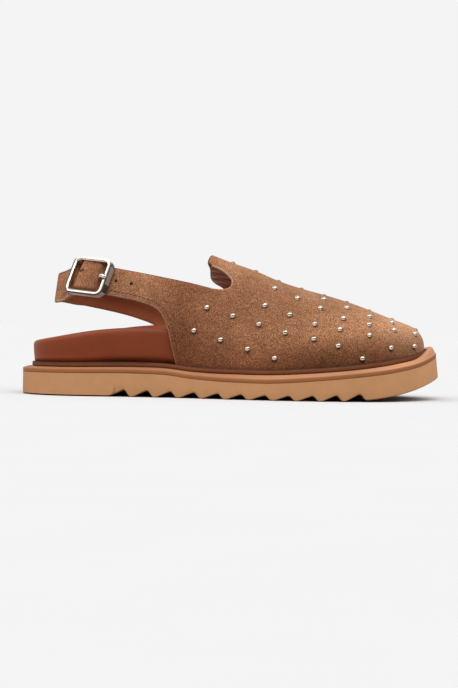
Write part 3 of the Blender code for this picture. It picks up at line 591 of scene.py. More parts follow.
def make_welt(looks):
    """Welt: an upright strip with rounded edges, flat on top and darkened there as painted shade."""
    loops = [plan_loop(inset, lambda x, lift=lift: welt_base(x) + lift) for inset, lift in WELT_PROFILE]
    loops = equal_loops(loops)
    count = len(loops[0])
    faces = ring_faces(len(loops), count, closed=True)
    points = np.concatenate(loops)
    points[:, 0] -= WELT_TOE_IN * smooth_step(TOE_TIP - TOE_DRAFT_LENGTH, TOE_TIP - WELT_OUTER, points[:, 0])
    before = points[[face[0] for face in faces], 0] >= WELT_DARK_FRONT
    face_looks = [int(k // count > WELT_LIGHT_ROWS[int(front)]) for k, front in enumerate(before)]
    return face_outward(mesh_object("welt_dressed", points, faces, looks, face_looks))


def footbed_loop(move_in, wall, dish):
    """Loop round the footbed, which is narrower inside the upper."""
    x = stations(HEEL_TIP + FOOTBED_INSET + move_in, TOE_TIP - FOOTBED_INSET_IN_UPPER - move_in)
    inside = smooth_step(FOOTBED_STEP_START, FOOTBED_STEP_END, x)
    inset = FOOTBED_INSET + (FOOTBED_INSET_IN_UPPER - FOOTBED_INSET) * inside
    step = welt_top(x) + SEAT_GAP
    low = np.maximum(at(FOOTBED, "middle", x), step + FOOTBED_LEAST_WALL)
    sides = []
    for rim_name, y in zip(("outer_rim", "inner_rim"), sole_edges(x, inset + move_in)):
        rim = np.maximum(at(FOOTBED, rim_name, x), step + FOOTBED_LEAST_WALL)
        sides.append(np.stack([x, y, step + (rim - step) * wall - np.maximum(0.0, rim - low) * dish], 1))
    return np.concatenate([sides[0], sides[1][::-1]])


def make_footbed(looks):
    """Footbed: a plug inside the welt, the wrapped side and the dished top."""
    plug = [plan_loop(FOOTBED_PLUG_INSET, height) for height in (welt_base, feather)]
    return plan_solid("footbed_dressed", plug + [footbed_loop(*row) for row in FOOTBED_PROFILE], looks)


def upper_points(x, angle):
    """Points of the upper's outer face; angle runs from the outer to the inner side."""
    share = rounded_end(x - UPPER_HEEL_TIP, UPPER_HEEL_ROUND, UPPER_HEEL_POWER)
    share = share * rounded_end(UPPER_TOE_TIP - x, UPPER_TOE_ROUND, TOE_POWER)
    half = at(UPPER, "half", x) * share
    low = feather(x)
    drop = np.clip((x - (UPPER_TOE_TIP - UPPER_TOE_DROP)) / (UPPER_TOE_DROP + TIP_FLAT), 0.0, 1.0)
    height = (at(UPPER, "ridge", x) - low) * (1 - drop**UPPER_TOE_DROP_POWER) ** (1 / UPPER_TOE_DROP_POWER)
    power = 2 / at(UPPER, "power", x)
    across = np.sign(np.cos(angle)) * np.abs(np.cos(angle)) ** power
    rise = np.abs(np.sin(angle)) ** power
    y = at(UPPER, "centre", x) - half * across + at(UPPER, "ridge_shift", x) * share * rise**2
    z = low + height * rise
    return np.stack([x + lean(x) * (z - HEEL_LEAN_HEIGHT), y, z], -1)


def lean(x):
    return HEEL_LEAN * smooth_step(HEEL_LEAN_FROM, HEEL_LEAN_FULL, x)


def upper_angle(x, z, inner_side):
    """Angle of the upper's outer face at height z in the section at x."""
    low = feather(x)
    top = upper_points(x, np.full_like(np.asarray(x, float), math.pi / 2))[..., 2]
    rise = np.clip((z - low) / (top - low), 0.0, 1.0)
    angle = np.arcsin(rise ** (at(UPPER, "power", x) / 2))
    return np.where(inner_side, math.pi - angle, angle)


def section_of(x_seen, z):
    """Section of the upper that passes through a point seen from the side."""
    x = np.array(x_seen, float)
    for _ in range(4):
        x = x_seen - lean(x) * (z - HEEL_LEAN_HEIGHT)
    return x


def upper_axes(x, angle):
    """Point on the outer face, with unit vectors along the shoe and out of the face."""
    step_x, step_angle = 0.5, 0.02
    along = upper_points(x + step_x, angle) - upper_points(x - step_x, angle)
    over = upper_points(x, angle + step_angle) - upper_points(x, angle - step_angle)
    return upper_points(x, angle), unit(along), unit(np.cross(along, over))


def smooth_path(points, step):
    """Points about a step apart on a Catmull-Rom curve through the given ones."""
    points = [np.array(point, float) for point in points]
    padded = [2 * points[0] - points[1]] + points + [2 * points[-1] - points[-2]]
    path = []
    for before, start, end, after in zip(padded, padded[1:], padded[2:], padded[3:]):
        count = max(1, round(float(np.linalg.norm(end - start)) / step))
        for t in np.arange(count) / count:
            turn = 2 * before - 5 * start + 4 * end - after
            bend = 3 * start - before - 3 * end + after
            path.append(0.5 * (2 * start + (end - before) * t + turn * t**2 + bend * t**3))
    return np.array(path + [points[-1]])


EDGES = {name: smooth_path(points, EDGE_STEP) for name, points in EDGE_POINTS.items()}


def unrolled(x, angle):
    """Flat coordinates of a point of the upper: length along the shoe, stretched at the toe, and girth."""
    toe = UPPER_TOE_ROUND * np.arcsin(np.clip((x - UPPER_TOE_JOIN) / UPPER_TOE_ROUND, 0.0, 1.0))
    return np.stack([np.where(x > UPPER_TOE_JOIN, UPPER_TOE_JOIN + toe, x), angle * GIRTH_RADIUS], -1)


def rolled(length, girth):
    """Section and angle of a point given by its flat coordinates."""
    toe = UPPER_TOE_ROUND * np.sin(np.clip((length - UPPER_TOE_JOIN) / UPPER_TOE_ROUND, 0.0, QUARTER))
    return np.where(length > UPPER_TOE_JOIN, UPPER_TOE_JOIN + toe, length), girth / GIRTH_RADIUS


def edge_in_sections(path, inner_side):
    """A cut edge seen from the side, as sections and angles."""
    x = section_of(path[:, 0], path[:, 1])
    return x, upper_angle(x, path[:, 1], inner_side)


def edge_height(path, x):
    """Height at which the section at x meets a cut edge of the strap."""
    order = np.argsort(path[:, 0])
    z = np.interp(x, path[order, 0], path[order, 1])
    for _ in range(4):
        z = np.interp(x + lean(x) * (z - HEEL_LEAN_HEIGHT), path[order, 0], path[order, 1])
    return z


def strap_limits(side, x):
    """Heights of the strap's lower and upper edge in the sections at x."""
    collar = EDGES[f"collar_{side}"]
    return edge_height(EDGES[f"heel_{side}"], x), edge_height(collar[collar[:, 0] < NOTCH_BACK], x)


def front_outline():
    """Outline of the vamp, tongue and quarters in flat coordinates, once round."""
    clear_of_join, clear_of_welt, clear_of_toe = 0.6, 0.5, 0.8
    outline = []

    def add(x, angle, backwards=False):
        flat = unrolled(x, np.broadcast_to(angle, x.shape))
        outline.append(flat[::-1] if backwards else flat)

    def add_edge(path, inner_side):
        x, angle = edge_in_sections(path, inner_side)
        keep = (x > STRAP_JOIN + clear_of_join) & (path[:, 1] > feather(x) + clear_of_welt)
        add(x[keep], angle[keep], inner_side)

    def add_feather(path, inner_side):
        start = path[path[:, 1] < feather(path[:, 0])][0, 0]
        toe_end = UPPER_TOE_JOIN + UPPER_TOE_ROUND * QUARTER
        x, _ = rolled(np.arange(start, toe_end - clear_of_toe, MESH_STEP), 0.0)
        add(x, math.pi if inner_side else 0.0, inner_side)

    def add_join(side, backwards):
        x = np.full(STRAP_ROWS + 1, STRAP_JOIN)
        low, high = strap_limits(side, x[:1])
        add(x, upper_angle(x, np.linspace(low[0], high[0], STRAP_ROWS + 1), side == "inner"), backwards)

    add_edge(EDGES["heel_outer"], False)
    add_feather(EDGES["heel_outer"], False)
    add(np.full(TOE_STEPS, UPPER_TOE_TIP), np.linspace(0, math.pi, TOE_STEPS))
    add_feather(EDGES["heel_inner"], True)
    add_edge(EDGES["heel_inner"], True)
    add_join("inner", False)
    add_edge(EDGES["collar_inner"][1:], True)
    add_edge(EDGES["collar_outer"], False)
    add_join("outer", True)
    return np.concatenate(outline)


def inside_polygon(points, polygon):
    """Mask of the points inside a closed polygon, by counting crossings."""
    inside = np.zeros(len(points), bool)
    x, y = points[:, 0], points[:, 1]
    following = np.roll(polygon, -1, axis=0)
    for (ax, ay), (bx, by) in zip(polygon, following):
        if ay == by:
            continue
        crosses = (ay > y) != (by > y)
        inside ^= crosses & (x < (bx - ax) * (y - ay) / (by - ay) + ax)
    return inside


def near_outline(points, outline):
    """Mask of the points too close to the outline's own points, taken in blocks to save memory."""
    block = 2000
    gaps = []
    for start in range(0, len(points), block):
        apart = points[start:start + block, None] - outline[None]
        gaps.append(np.min((apart**2).sum(-1), axis=1))
    return np.concatenate(gaps) < MESH_CLEAR**2


def front_mesh():
    """Points and triangles of the vamp, tongue and quarters."""
    outline = front_outline()
    low, high = outline.min(0), outline.max(0)
    xs, ys = np.meshgrid(np.arange(low[0], high[0], MESH_STEP), np.arange(low[1], high[1], MESH_ROW))
    xs = xs + (np.arange(len(xs)) % 2)[:, None] * MESH_STEP / 2
    grid = np.stack([xs.ravel(), ys.ravel()], 1)
    grid = grid[inside_polygon(grid, outline)]
    flat = np.concatenate([outline, grid[~near_outline(grid, outline)]])
    loop = [(i, (i + 1) % len(outline)) for i in range(len(outline))]
    flat_points, _, faces, *_ = delaunay_2d_cdt([Vector(p) for p in flat], loop, [], 1, 1e-6)
    x, angle = rolled(*np.array([tuple(p) for p in flat_points]).T)
    return upper_points(x, angle), [tuple(face) for face in faces]


def strap_mesh():
    """Points and quads of the heel strap, from the outer quarter round the heel to the inner one."""
    share = 1 - np.cos(np.linspace(0, QUARTER, STRAP_COLUMNS))
    x = UPPER_HEEL_TIP + (STRAP_JOIN - UPPER_HEEL_TIP) * share
    count = STRAP_ROWS + 1
    columns = []
    for side, run in (("outer", x[::-1]), ("inner", x)):
        low, high = strap_limits(side, run)
        z = low[:, None] + (high - low)[:, None] * np.linspace(0, 1, count)
        sections = np.repeat(run[:, None], count, 1)
        columns.append(upper_points(sections, upper_angle(sections, z, side == "inner")))
    points = np.concatenate(columns)
    return points.reshape(-1, 3), ring_faces(len(points), count, whole=False)


def skin_normals(points, faces):
    normals = np.zeros_like(points)
    for size in (3, 4):
        chosen = np.array([face for face in faces if len(face) == size])
        first, second, third = (points[chosen[:, k]] for k in (0, 1, size - 1))
        flat = np.cross(second - first, third - first)
        for k in range(size):
            np.add.at(normals, chosen[:, k], flat)
    return unit(normals)


def welded(points, faces):
    """Points that lie together made one."""
    keys = np.round(points / WELD).astype(np.int64)
    _, first, index = np.unique(keys, axis=0, return_index=True, return_inverse=True)
    index = index.reshape(-1)
    corners = (tuple(dict.fromkeys(int(index[i]) for i in face)) for face in faces)
    return points[first], [face for face in corners if len(face) > 2]


def border_loops(faces):
    """Closed loops of the edges that only one face uses, in the direction of that face."""
    seen = dict.fromkeys(edge for face in faces for edge in zip(face, face[1:] + face[:1]))
    following = {a: b for a, b in seen if (b, a) not in seen}
    loops = []
    while following:
        start, here = next(iter(following.items()))
        loop = [start]
        del following[start]
        while here != start and here in following:
            loop.append(here)
            here = following.pop(here)
        loops.append(loop)
    return loops


def strap_shape(points):
    """How far the outer face stands out where the strap is doubled."""
    return (points[:, 1] < 0) * (points[:, 0] < STRAP_JOIN) * tail_layer(points[:, 0])


def soft_creases(points):
    """Low troughs and ridges of the worn-in vamp."""
    x, z = points[:, 0], points[:, 2]
    return sum(
        height * np.exp(-((x - middle) / width) ** 2) * np.sin((x + slant * z) / length)
        for middle, width, slant, length, height in CREASES
    )


def make_upper(looks):
    """Upper with rounded cut edges. Looks: suede, cut edge, lining of the vamp and of the strap, strap rim."""
    front, faces = front_mesh()
    strap, strap_faces = strap_mesh()
    faces += [tuple(i + len(front) for i in face) for face in strap_faces]
    points, faces = welded(np.concatenate([front, strap]), faces)
    normals = skin_normals(points, faces)
    if np.sum((points - points.mean(0)) * normals) < 0:
        normals = -normals
        faces = [face[::-1] for face in faces]
    x, z = points[:, 0], points[:, 2]
    outside = points + normals * (strap_shape(points) + soft_creases(points))[:, None]
    rippled = smooth_step(RIPPLE_START, RIPPLE_FULL, x) * (x > RIPPLE_END)
    ripple = RIPPLE * np.sin(z / RIPPLE_LENGTH) * rippled
    inside = points - normals * (UPPER_WALL + ripple)[:, None]
    count = len(points)
    all_points = [outside, inside]
    all_faces = faces + [tuple(i + count for i in face[::-1]) for face in faces]
    face_looks = [0] * len(faces)
    face_looks += [2 if x[list(face)].mean() > STRAP_LINING_FRONT else 3 for face in faces]
    borders = border_loops(faces)
    collar = max(borders, key=lambda loop: z[loop].mean())
    for loop in borders:
        rim, rim_faces = rounded_rim(loop, outside, inside, normals, sum(map(len, all_points)))
        all_points.append(rim)
        all_faces += rim_faces
        ends = np.tile(x[loop], RIM_STEPS + 1)
        face_looks += [4 if loop is collar and end < STRAP_RIM_FRONT else 1 for end in ends]
    return mesh_object("upper_dressed", np.concatenate(all_points), all_faces, looks, face_looks)


def rounded_rim(loop, outside, inside, normals, start):
    """A half-round strip along one border loop, from the outer face to the inner one."""
    loop = np.array(loop)
    top, bottom = outside[loop], inside[loop]
    away = unit(np.cross(np.roll(top, -1, axis=0) - np.roll(top, 1, axis=0), normals[loop]))
    bulge = RIM_BULGE + REAR_ROLL * smooth_step(REAR_ROLL_FROM, REAR_ROLL_FULL, top[:, :1])
    rows = []
    for turn in np.linspace(0, math.pi, RIM_STEPS + 2)[1:-1]:
        share = (1 - math.cos(turn)) / 2
        rows.append(top * (1 - share) + bottom * share + away * bulge * math.sin(turn))
    size = len(loop)
    new = [np.arange(size) + start + k * size for k in range(RIM_STEPS)]
    indices = [part.tolist() for part in (loop, *new, loop + len(outside))]
    faces = []
    for first, second in zip(indices, indices[1:]):
        for i in range(size):
            j = (i + 1) % size
            faces.append((first[j], first[i], second[i], second[j]))
    return np.concatenate(rows), faces


def tail_layer(x):
    """Thickness that the strap's second layer adds outside, at the section x."""
    front = smooth_step(TAIL_FRONT, TAIL_FRONT - TAIL_STEP, x)
    return TAIL_THICK * front * smooth_step(TAIL_BACK, TAIL_BACK + TAIL_STEP, x)


def strap_points(x, z):
    """Points of the strap's outer face, with its second layer."""
    points = upper_points(x, upper_angle(x, z, False))
    points[..., 1] -= tail_layer(x)
    return points


def buckle_axes():
    """Matrix of the buckle's own axes: along the strap, across it and out of it."""
    along = Vector(BUCKLE_ALONG).normalized()
    out = along.cross(Vector(BUCKLE_ACROSS)).normalized()
    axes = Matrix((along, out.cross(along), out)).transposed().to_4x4()
    axes.translation = Vector(strap_points(np.array(BUCKLE_X), BUCKLE_Z))
    return axes


BUCKLE_AXES = buckle_axes()


def on_buckle(made):
    """Moves a mesh made in the buckle's axes to its place."""
    metres = BUCKLE_AXES.copy()
    metres.translation = BUCKLE_AXES.translation * MM
    made.data.transform(metres)
    return made


def strap_face(reach_x, reach_z):
    """Points of the strap's outer face about the buckle's middle, in the buckle's axes."""
    x, z = (part.ravel() for part in np.meshgrid(BUCKLE_X + reach_x, BUCKLE_Z + reach_z))
    back = np.array(BUCKLE_AXES.inverted())
    return strap_points(x, z) @ back[:3, :3].T + back[:3, 3]


def strap_height(u, v):
    """Height of the strap's face over the buckle's base plane, near the place u, v."""
    reach = np.arange(-18.0, 18.0, 0.5)
    face = strap_face(reach, reach)
    return float(face[np.argmin((face[:, 0] - u) ** 2 + (face[:, 1] - v) ** 2), 2])


def fit_terms(u, v):
    return np.stack([np.ones_like(u), u, v, u * u, u * v, v * v, u**3, u * u * v], -1)


def smooth_strap_height(u, v):
    """The same height from a smooth surface fitted to the strap's face."""
    fit_u, fit_v, heights = strap_face(np.arange(-15, 16), np.arange(-14, 15)).T
    return fit_terms(u, v) @ np.linalg.lstsq(fit_terms(fit_u, fit_v), heights, rcond=None)[0]


def buckle_base():
    """Height of the frame's base, clear of the strap at both end bars."""
    return max(strap_height(u, v) for u in (-END_BAR, END_BAR) for v in BUCKLE_RESTS) + 2 * SEAT_GAP


def rounded_corners(length, height, radius, steps):
    """Points round each corner of a rounded rectangle about its middle."""
    corners = []
    for turn, (u, v) in enumerate(((1, 1), (-1, 1), (-1, -1), (1, -1))):
        angles = np.linspace(turn * QUARTER, (turn + 1) * QUARTER, steps)
        centre = np.array((u * (length / 2 - radius), v * (height / 2 - radius)))
        corners.append(centre + radius * np.column_stack([np.cos(angles), np.sin(angles)]))
    return corners


def rounded_rectangle(length, height, radius):
    """Points round its corners and along its sides."""
    corners = rounded_corners(length, height, radius, CORNER_STEPS)
    shares = np.linspace(0, 1, CORNER_STEPS + 1)[1:-1, None]
    points = []
    for corner, after in zip(corners, corners[1:] + corners[:1]):
        points += [corner, corner[-1] + (after[0] - corner[-1]) * shares]
    return np.concatenate(points)


def frame_look(row, u, v):
    """Look of a face of the frame: 0 polished, 1 satin, 2 painted dark reflection, 3 painted highlight; rows go
    round the bar's section.
    """
    if row > 3 * FRAME_EDGE_STEPS:
        front = u > BUCKLE_LENGTH / 2 - CORNER_RADIUS
        dark = front and (v > WALL_DARK_ABOVE or WALL_DARK[0] < v < WALL_DARK[1])
        return 2 if dark else 3 if front and v < WALL_DARK[0] else 1
    line = FRAME_EDGE_STEPS - 1
    if v > BUCKLE_HEIGHT / 2 - BUCKLE_BAR:
        return 3 if row < line + 2 else 0
    return 2 if row < line or (row == line and u < -BUCKLE_LENGTH / 2 + BUCKLE_BAR) else 0


def make_buckle_frame(looks):
    """Deep frame with rounded edges: loops round the bar's section, swept round the rectangle."""
    low = buckle_base()
    bar = BUCKLE_BAR + FRAME_SWELL
    section = np.concatenate(rounded_corners(bar, BUCKLE_DEPTH, FRAME_EDGE, FRAME_EDGE_STEPS))
    section += (bar / 2, BUCKLE_DEPTH / 2)
    line = FRAME_EDGE_STEPS
    section = np.insert(section, line, (section[line - 1, 0] - FRAME_LINE, BUCKLE_DEPTH), axis=0)
    loops = []
    for across, up in section:
        grow = FRAME_SWELL - (bar - across)
        corner = max(CORNER_LEAST, CORNER_RADIUS + grow)
        outline = rounded_rectangle(BUCKLE_LENGTH + 2 * grow, BUCKLE_HEIGHT + 2 * grow, corner)
        outline[:, 1] += FRAME_TAPER * (1 - up / BUCKLE_DEPTH) * (outline[:, 1] < 0)
        loops.append(np.column_stack([outline, np.full(len(outline), low + up)]))
    count = len(loops[0])
    middles = [(loop + np.roll(loop, -1, axis=0)) / 2 for loop in loops]
    face_looks = [frame_look(row, u, v) for row, middle in enumerate(middles) for u, v, _ in middle]
    faces = ring_faces(len(loops), count, closed=True)
    made = mesh_object("buckle_frame_dressed", np.concatenate(loops), faces, looks, face_looks)
    return on_buckle(face_outward(made))


def make_prong(looks):
    """A flattened rod with rounded ends that rises from the strap and lies over the frame's front bar."""
    top = buckle_base() + BUCKLE_DEPTH + SEAT_GAP + PRONG_RADIUS
    low = strap_height(PRONG_BACK, 0.0) + SEAT_GAP + PRONG_RADIUS
    route = ((PRONG_BACK, low), (PRONG_BACK + PRONG_BEND, top), (END_BAR, top), (END_BAR + PRONG_TIP, top))
    path = np.insert(smooth_path(route, PRONG_STEP), 1, 0.0, axis=1)
    along = unit(np.gradient(path, axis=0))
    side = unit(np.cross(along, (0.0, 1.0, 0.0)))
    other = np.cross(along, side)
    ends = [(math.cos(turn), math.sin(turn)) for turn in np.linspace(0, QUARTER, 4)[1:]]
    rows = [(0, -shift, size) for shift, size in ends] + [(i, 0.0, 1.0) for i in range(1, len(path) - 1)]
    rows += [(-1, shift, size) for shift, size in ends[::-1]]
    loops = []
    for i, shift, size in rows:
        ring = circle(side[i], other[i], PRONG_SIDES)
        loops.append(path[i] + PRONG_RADIUS * (along[i] * shift + ring * size))
    faces = ring_faces(len(loops), PRONG_SIDES) + end_caps(len(loops), PRONG_SIDES)
    made = face_outward(mesh_object("buckle_prong_dressed", np.concatenate(loops), faces, looks))
    made.data.transform(Matrix.Scale(PRONG_SPREAD, 4, (0, 1, 0)))
    return on_buckle(made)


def loop_height(u, v):
    """Rise of the strap's loop inside the buckle over the strap below it."""
    return LOOP_END_RISE + (LOOP_RISE + LOOP_TILT * v) * (1 - smooth_step(LOOP_FALL, LOOP_FALL_END, u))


def make_strap_loop(looks):
    """The strap's loop in the buckle: a padded face with a cut left end, dipping under the right bar."""
    ease = (1 - np.cos(np.linspace(0, math.pi, LOOP_STEPS))) / 2
    along, v = np.meshgrid(ease, LOOP_LOW + (LOOP_HIGH - LOOP_LOW) * ease, indexing="ij")
    left = LOOP_LEFT + LOOP_SLANT * v
    u = left + (LOOP_RIGHT - left) * along
    below = smooth_strap_height(u, v)
    near = np.minimum(u - left, v - LOOP_LOW)
    inside = np.clip(1 - near / LOOP_ROUND, 0.0, 1.0)
    top = below + loop_height(u, v) - LOOP_ROUND * (1 - np.sqrt(1 - inside**2))
    index = np.arange(u.size).reshape(u.shape)
    corners = (index[:-1, :-1], index[1:, :-1], index[1:, 1:], index[:-1, 1:])
    faces = np.stack([corner.ravel() for corner in corners], 1).tolist()
    border = np.concatenate([index[:, 0], index[-1, 1:], index[-2::-1, -1], index[0, -2:0:-1]])
    foot = np.stack([u, v, np.minimum(below - LOOP_SINK, top - LOOP_LEAST)], -1).reshape(-1, 3)[border]
    feet = u.size + np.arange(len(border))
    faces += np.stack([border, feet, np.roll(feet, -1), np.roll(border, -1)], 1).tolist()
    points = np.concatenate([np.stack([u, v, top], -1).reshape(-1, 3), foot])
    made = mesh_object("strap_loop", points, faces, looks)
    made.data.set_sharp_from_angle(angle=LOOP_SHARP)
    return on_buckle(made)


def make_loop_slot(looks):
    """Slanted slot punched in the strap's loop, a patch painted dark as the shade inside it."""
    (half_length, half_width), (cosine, sine) = SLOT_HALF, SLOT_TURN
    along, across = np.array((cosine, sine)) * half_length, np.array((-sine, cosine)) * half_width
    ring = circle(along, across, SLOT_SIDES)
    u, v = np.concatenate([SLOT + share * ring for share in SLOT_RINGS]).T
    points = np.stack([u, v, smooth_strap_height(u, v) + loop_height(u, v) + SLOT_LIFT], -1)
    return on_buckle(mesh_object("strap_loop_slot", points, ring_faces(len(SLOT_RINGS), SLOT_SIDES), looks))


def stud_places():
    """Section and angle of each stud: the ridge row, then the rows of the outer and of the inner side."""
    turns = QUARTER + np.linspace(*RIDGE_STUD_TURN, RIDGE_STUDS)
    places = list(zip(np.linspace(*RIDGE_STUD_X, RIDGE_STUDS), turns))
    for inner_side in (False, True):
        for x_first, z_first, x_last, z_last, count in STUD_ROWS:
            for share in np.linspace(0, 1, count):
                x = x_first + (x_last - x_first) * share
                places.append((x, upper_angle(x, z_first + (z_last - z_first) * share, inner_side)))
    return places


def make_studs(looks):
    """All studs as one mesh: a turned dome on a thin collar, copied to each place, with painted shade on one
    side.
    """
    profile = [(STUD_RADIUS * STUD_FOOT, -STUD_SINK), (STUD_RADIUS, STUD_COLLAR)]
    profile += [(STUD_RADIUS * math.cos(t), STUD_COLLAR + STUD_HEIGHT * math.sin(t)) for t in STUD_DOME]
    side, other, up = np.eye(3)
    rings = [radius * circle(side, other, STUD_SIDES) + up * z for radius, z in profile[:-1]]
    dome = np.concatenate(rings + [[up * profile[-1][1]]])
    faces = ring_faces(len(rings), STUD_SIDES)
    top = len(dome) - 1
    last = top - STUD_SIDES
    faces += [(last + i, last + (i + 1) % STUD_SIDES, top) for i in range(STUD_SIDES)]
    normals = unit(np.array([dome[list(face)].mean(0) for face in faces]))
    copies, face_looks = [], []
    for k, (x, angle) in enumerate(stud_places()):
        point, along, out = upper_axes(x, angle)
        axes = np.stack([along, np.cross(out, along), out])
        dark = normals @ axes @ STUD_LIGHT < (RIDGE_SHADE if k < RIDGE_STUDS else STUD_SHADE)
        face_looks += dark.astype(int).tolist()
        copies.append(dome @ axes + point)
    return mesh_object("studs_dressed", *joined(copies, faces), looks, face_looks)


def make_strap_holes(looks):
    """Punched holes of the strap as shallow cups set in its face, painted dark as the shade inside the holes.
    """
    cups = []
    for x_seen, z in STRAP_HOLES:
        x = section_of(x_seen, z)
        point, along, out = upper_axes(x, upper_angle(x, z, False))
        lift = strap_shape(point[None]) + soft_creases(point[None])
        ring = circle(along, np.cross(out, along), HOLE_SIDES)
        rings = [point + out * (lift + height) + radius * ring for radius, height in HOLE_RINGS]
        cups.append(np.concatenate(rings))
    return mesh_object("strap_holes", *joined(cups, ring_faces(len(HOLE_RINGS), HOLE_SIDES)), looks)


def make_stitches(looks):
    """Short thread stitches along the lower edges of strap and quarters, a little in from the edge."""
    stitches = []
    for name, turn in (("heel_outer", -1), ("heel_inner", 1)):
        path = EDGES[name]
        x, angle = edge_in_sections(path, name == "heel_inner")
        keep = path[:, 1] > feather(path[:, 0]) + STITCH_OVER_WELT
        keep &= x > UPPER_HEEL_TIP + STITCH_FROM_HEEL
        row, _, outs = upper_axes(x[keep], angle[keep])
        inward = np.cross(unit(np.gradient(row, axis=0)), outs) * turn
        row = row + inward * STITCH_INSET + outs * (strap_shape(row) + STITCH_LIFT)[:, None]
        length = np.concatenate([[0], np.cumsum(np.linalg.norm(np.diff(row, axis=0), axis=1))])

        def point_at(run, row=row, length=length):
            return np.array([np.interp(run, length, values) for values in row.T])

        for middle in np.arange(STITCH_PITCH, length[-1] - STITCH_PITCH, STITCH_PITCH):
            centre = point_at(middle)
            ahead = unit(point_at(middle + STITCH_LENGTH / 4) - centre)
            out = outs[np.argmin(np.abs(length - middle))]
            ring = circle(np.cross(ahead, out), out, STITCH_SIDES) * STITCH_RADIUS
            rings = [centre + ahead * shift * STITCH_LENGTH + ring * size for shift, size in STITCH_RINGS]
            stitches.append(np.concatenate(rings))
    return mesh_object("stitches", *joined(stitches, ring_faces(len(STITCH_RINGS), STITCH_SIDES)), looks)


class Nodes:
    """Short helper to build the nodes of a material or a world."""

    def __init__(self, owner):
        owner.use_nodes = True
        self.owner = owner
        self.tree = owner.node_tree

    def add(self, kind, inputs=None, **settings):
        """Outputs of a new node; each input takes a value or another node's output."""
        node = self.tree.nodes.new("ShaderNode" + kind)
        for name, value in settings.items():
            setattr(node, name, value)
        for name, value in (inputs or {}).items():
            self.put(value, node.inputs[name])
        return node.outputs

    def put(self, value, socket):
        if isinstance(value, bpy.types.NodeSocket):
            self.tree.links.new(value, socket)
        else:
            socket.default_value = (*value, 1.0) if socket.type == "RGBA" else value

    def ramp(self, value, stops):
        """Colour at a value between stops of position and colour."""
        outputs = self.add("ValToRGB", {"Fac": value})
        elements = outputs[0].node.color_ramp.elements
        while len(elements) < len(stops):
            elements.new(0.5)
        for element, (position, colour) in zip(elements, stops):
            element.position = position
            element.color = (*colour, 1.0)
        return outputs["Color"]

    def mix(self, first, second, share, mode="MIX"):
        return self.add("Mix", {0: share, 6: first, 7: second}, data_type="RGBA", blend_type=mode)[2]

    def times(self, first, second):
        return self.mix(first, second, 1.0, "MULTIPLY")

    def blend(self, first, share, second, other_share):
        """Sum of two values, each times its share."""
        parts = [
            self.add("Math", {0: value, 1: part}, operation="MULTIPLY")[0]
            for value, part in ((first, share), (second, other_share))
        ]
        return self.add("Math", dict(enumerate(parts)), operation="ADD")[0]


class Look(Nodes):
    """A material's nodes; places and sizes are in millimetres of the shoe's frame."""

    def __init__(self, name):
        super().__init__(bpy.data.materials.new(name))
        self.place = self.vectors("SCALE", {0: self.add("TexCoord")["Object"], "Scale": 1 / MM})[0]

    def vectors(self, operation, inputs):
        return self.add("VectorMath", inputs, operation=operation)

    def noise(self, size, detail=3.0, roughness=0.55, stretch=None):
        place = self.vectors("MULTIPLY", {0: self.place, 1: stretch})[0] if stretch else self.place
        inputs = {"Vector": place, "Scale": 1 / size, "Detail": detail, "Roughness": roughness}
        return self.add("TexNoise", inputs)["Fac"]

    def cells(self, size):
        return self.add("TexVoronoi", {"Vector": self.place, "Scale": 1 / size})["Distance"]

    def toned(self, base, axis, stops):
        """The base colour times tones along an axis: stops of a place and a tone."""
        low, high = stops[0][0], stops[-1][0]
        reach = self.vectors("DOT_PRODUCT", {0: self.place, 1: axis})["Value"]
        share = self.add("MapRange", {"Value": reach, "From Min": low, "From Max": high})["Result"]
        tones = [((place - low) / (high - low), tone) for place, tone in stops]
        return self.times(base, self.ramp(share, tones))

    def spotted(self, base, x, z, radius, tone):
        """The base colour times a soft round tone about a place seen from the side."""
        flat = self.vectors("MULTIPLY", {0: self.place, 1: (1.0, 0.0, 1.0)})[0]
        gap = self.vectors("DISTANCE", {0: flat, 1: (x, 0.0, z)})["Value"]
        inputs = {"Value": gap, "From Max": radius}
        share = self.add("MapRange", inputs, interpolation_type="SMOOTHSTEP")["Result"]
        return self.times(base, self.ramp(share, ((0.0, tone), (1.0, PLAIN))))

    def bump(self, heights, strength, depth):
        return self.add("Bump", {"Height": heights, "Strength": strength, "Distance": depth * MM})["Normal"]

    def between(self, value, low, high):
        """Low to high as a value goes from 0 to 1."""
        return self.add("MapRange", {"Value": value, "To Min": low, "To Max": high})["Result"]

    def finish(self, **values):
        """The material, with values and other nodes' outputs on its shader."""
        shader = self.tree.nodes["Principled BSDF"]
        for name, value in values.items():
            self.put(value, shader.inputs[name.replace("_", " ")])
        return self.owner


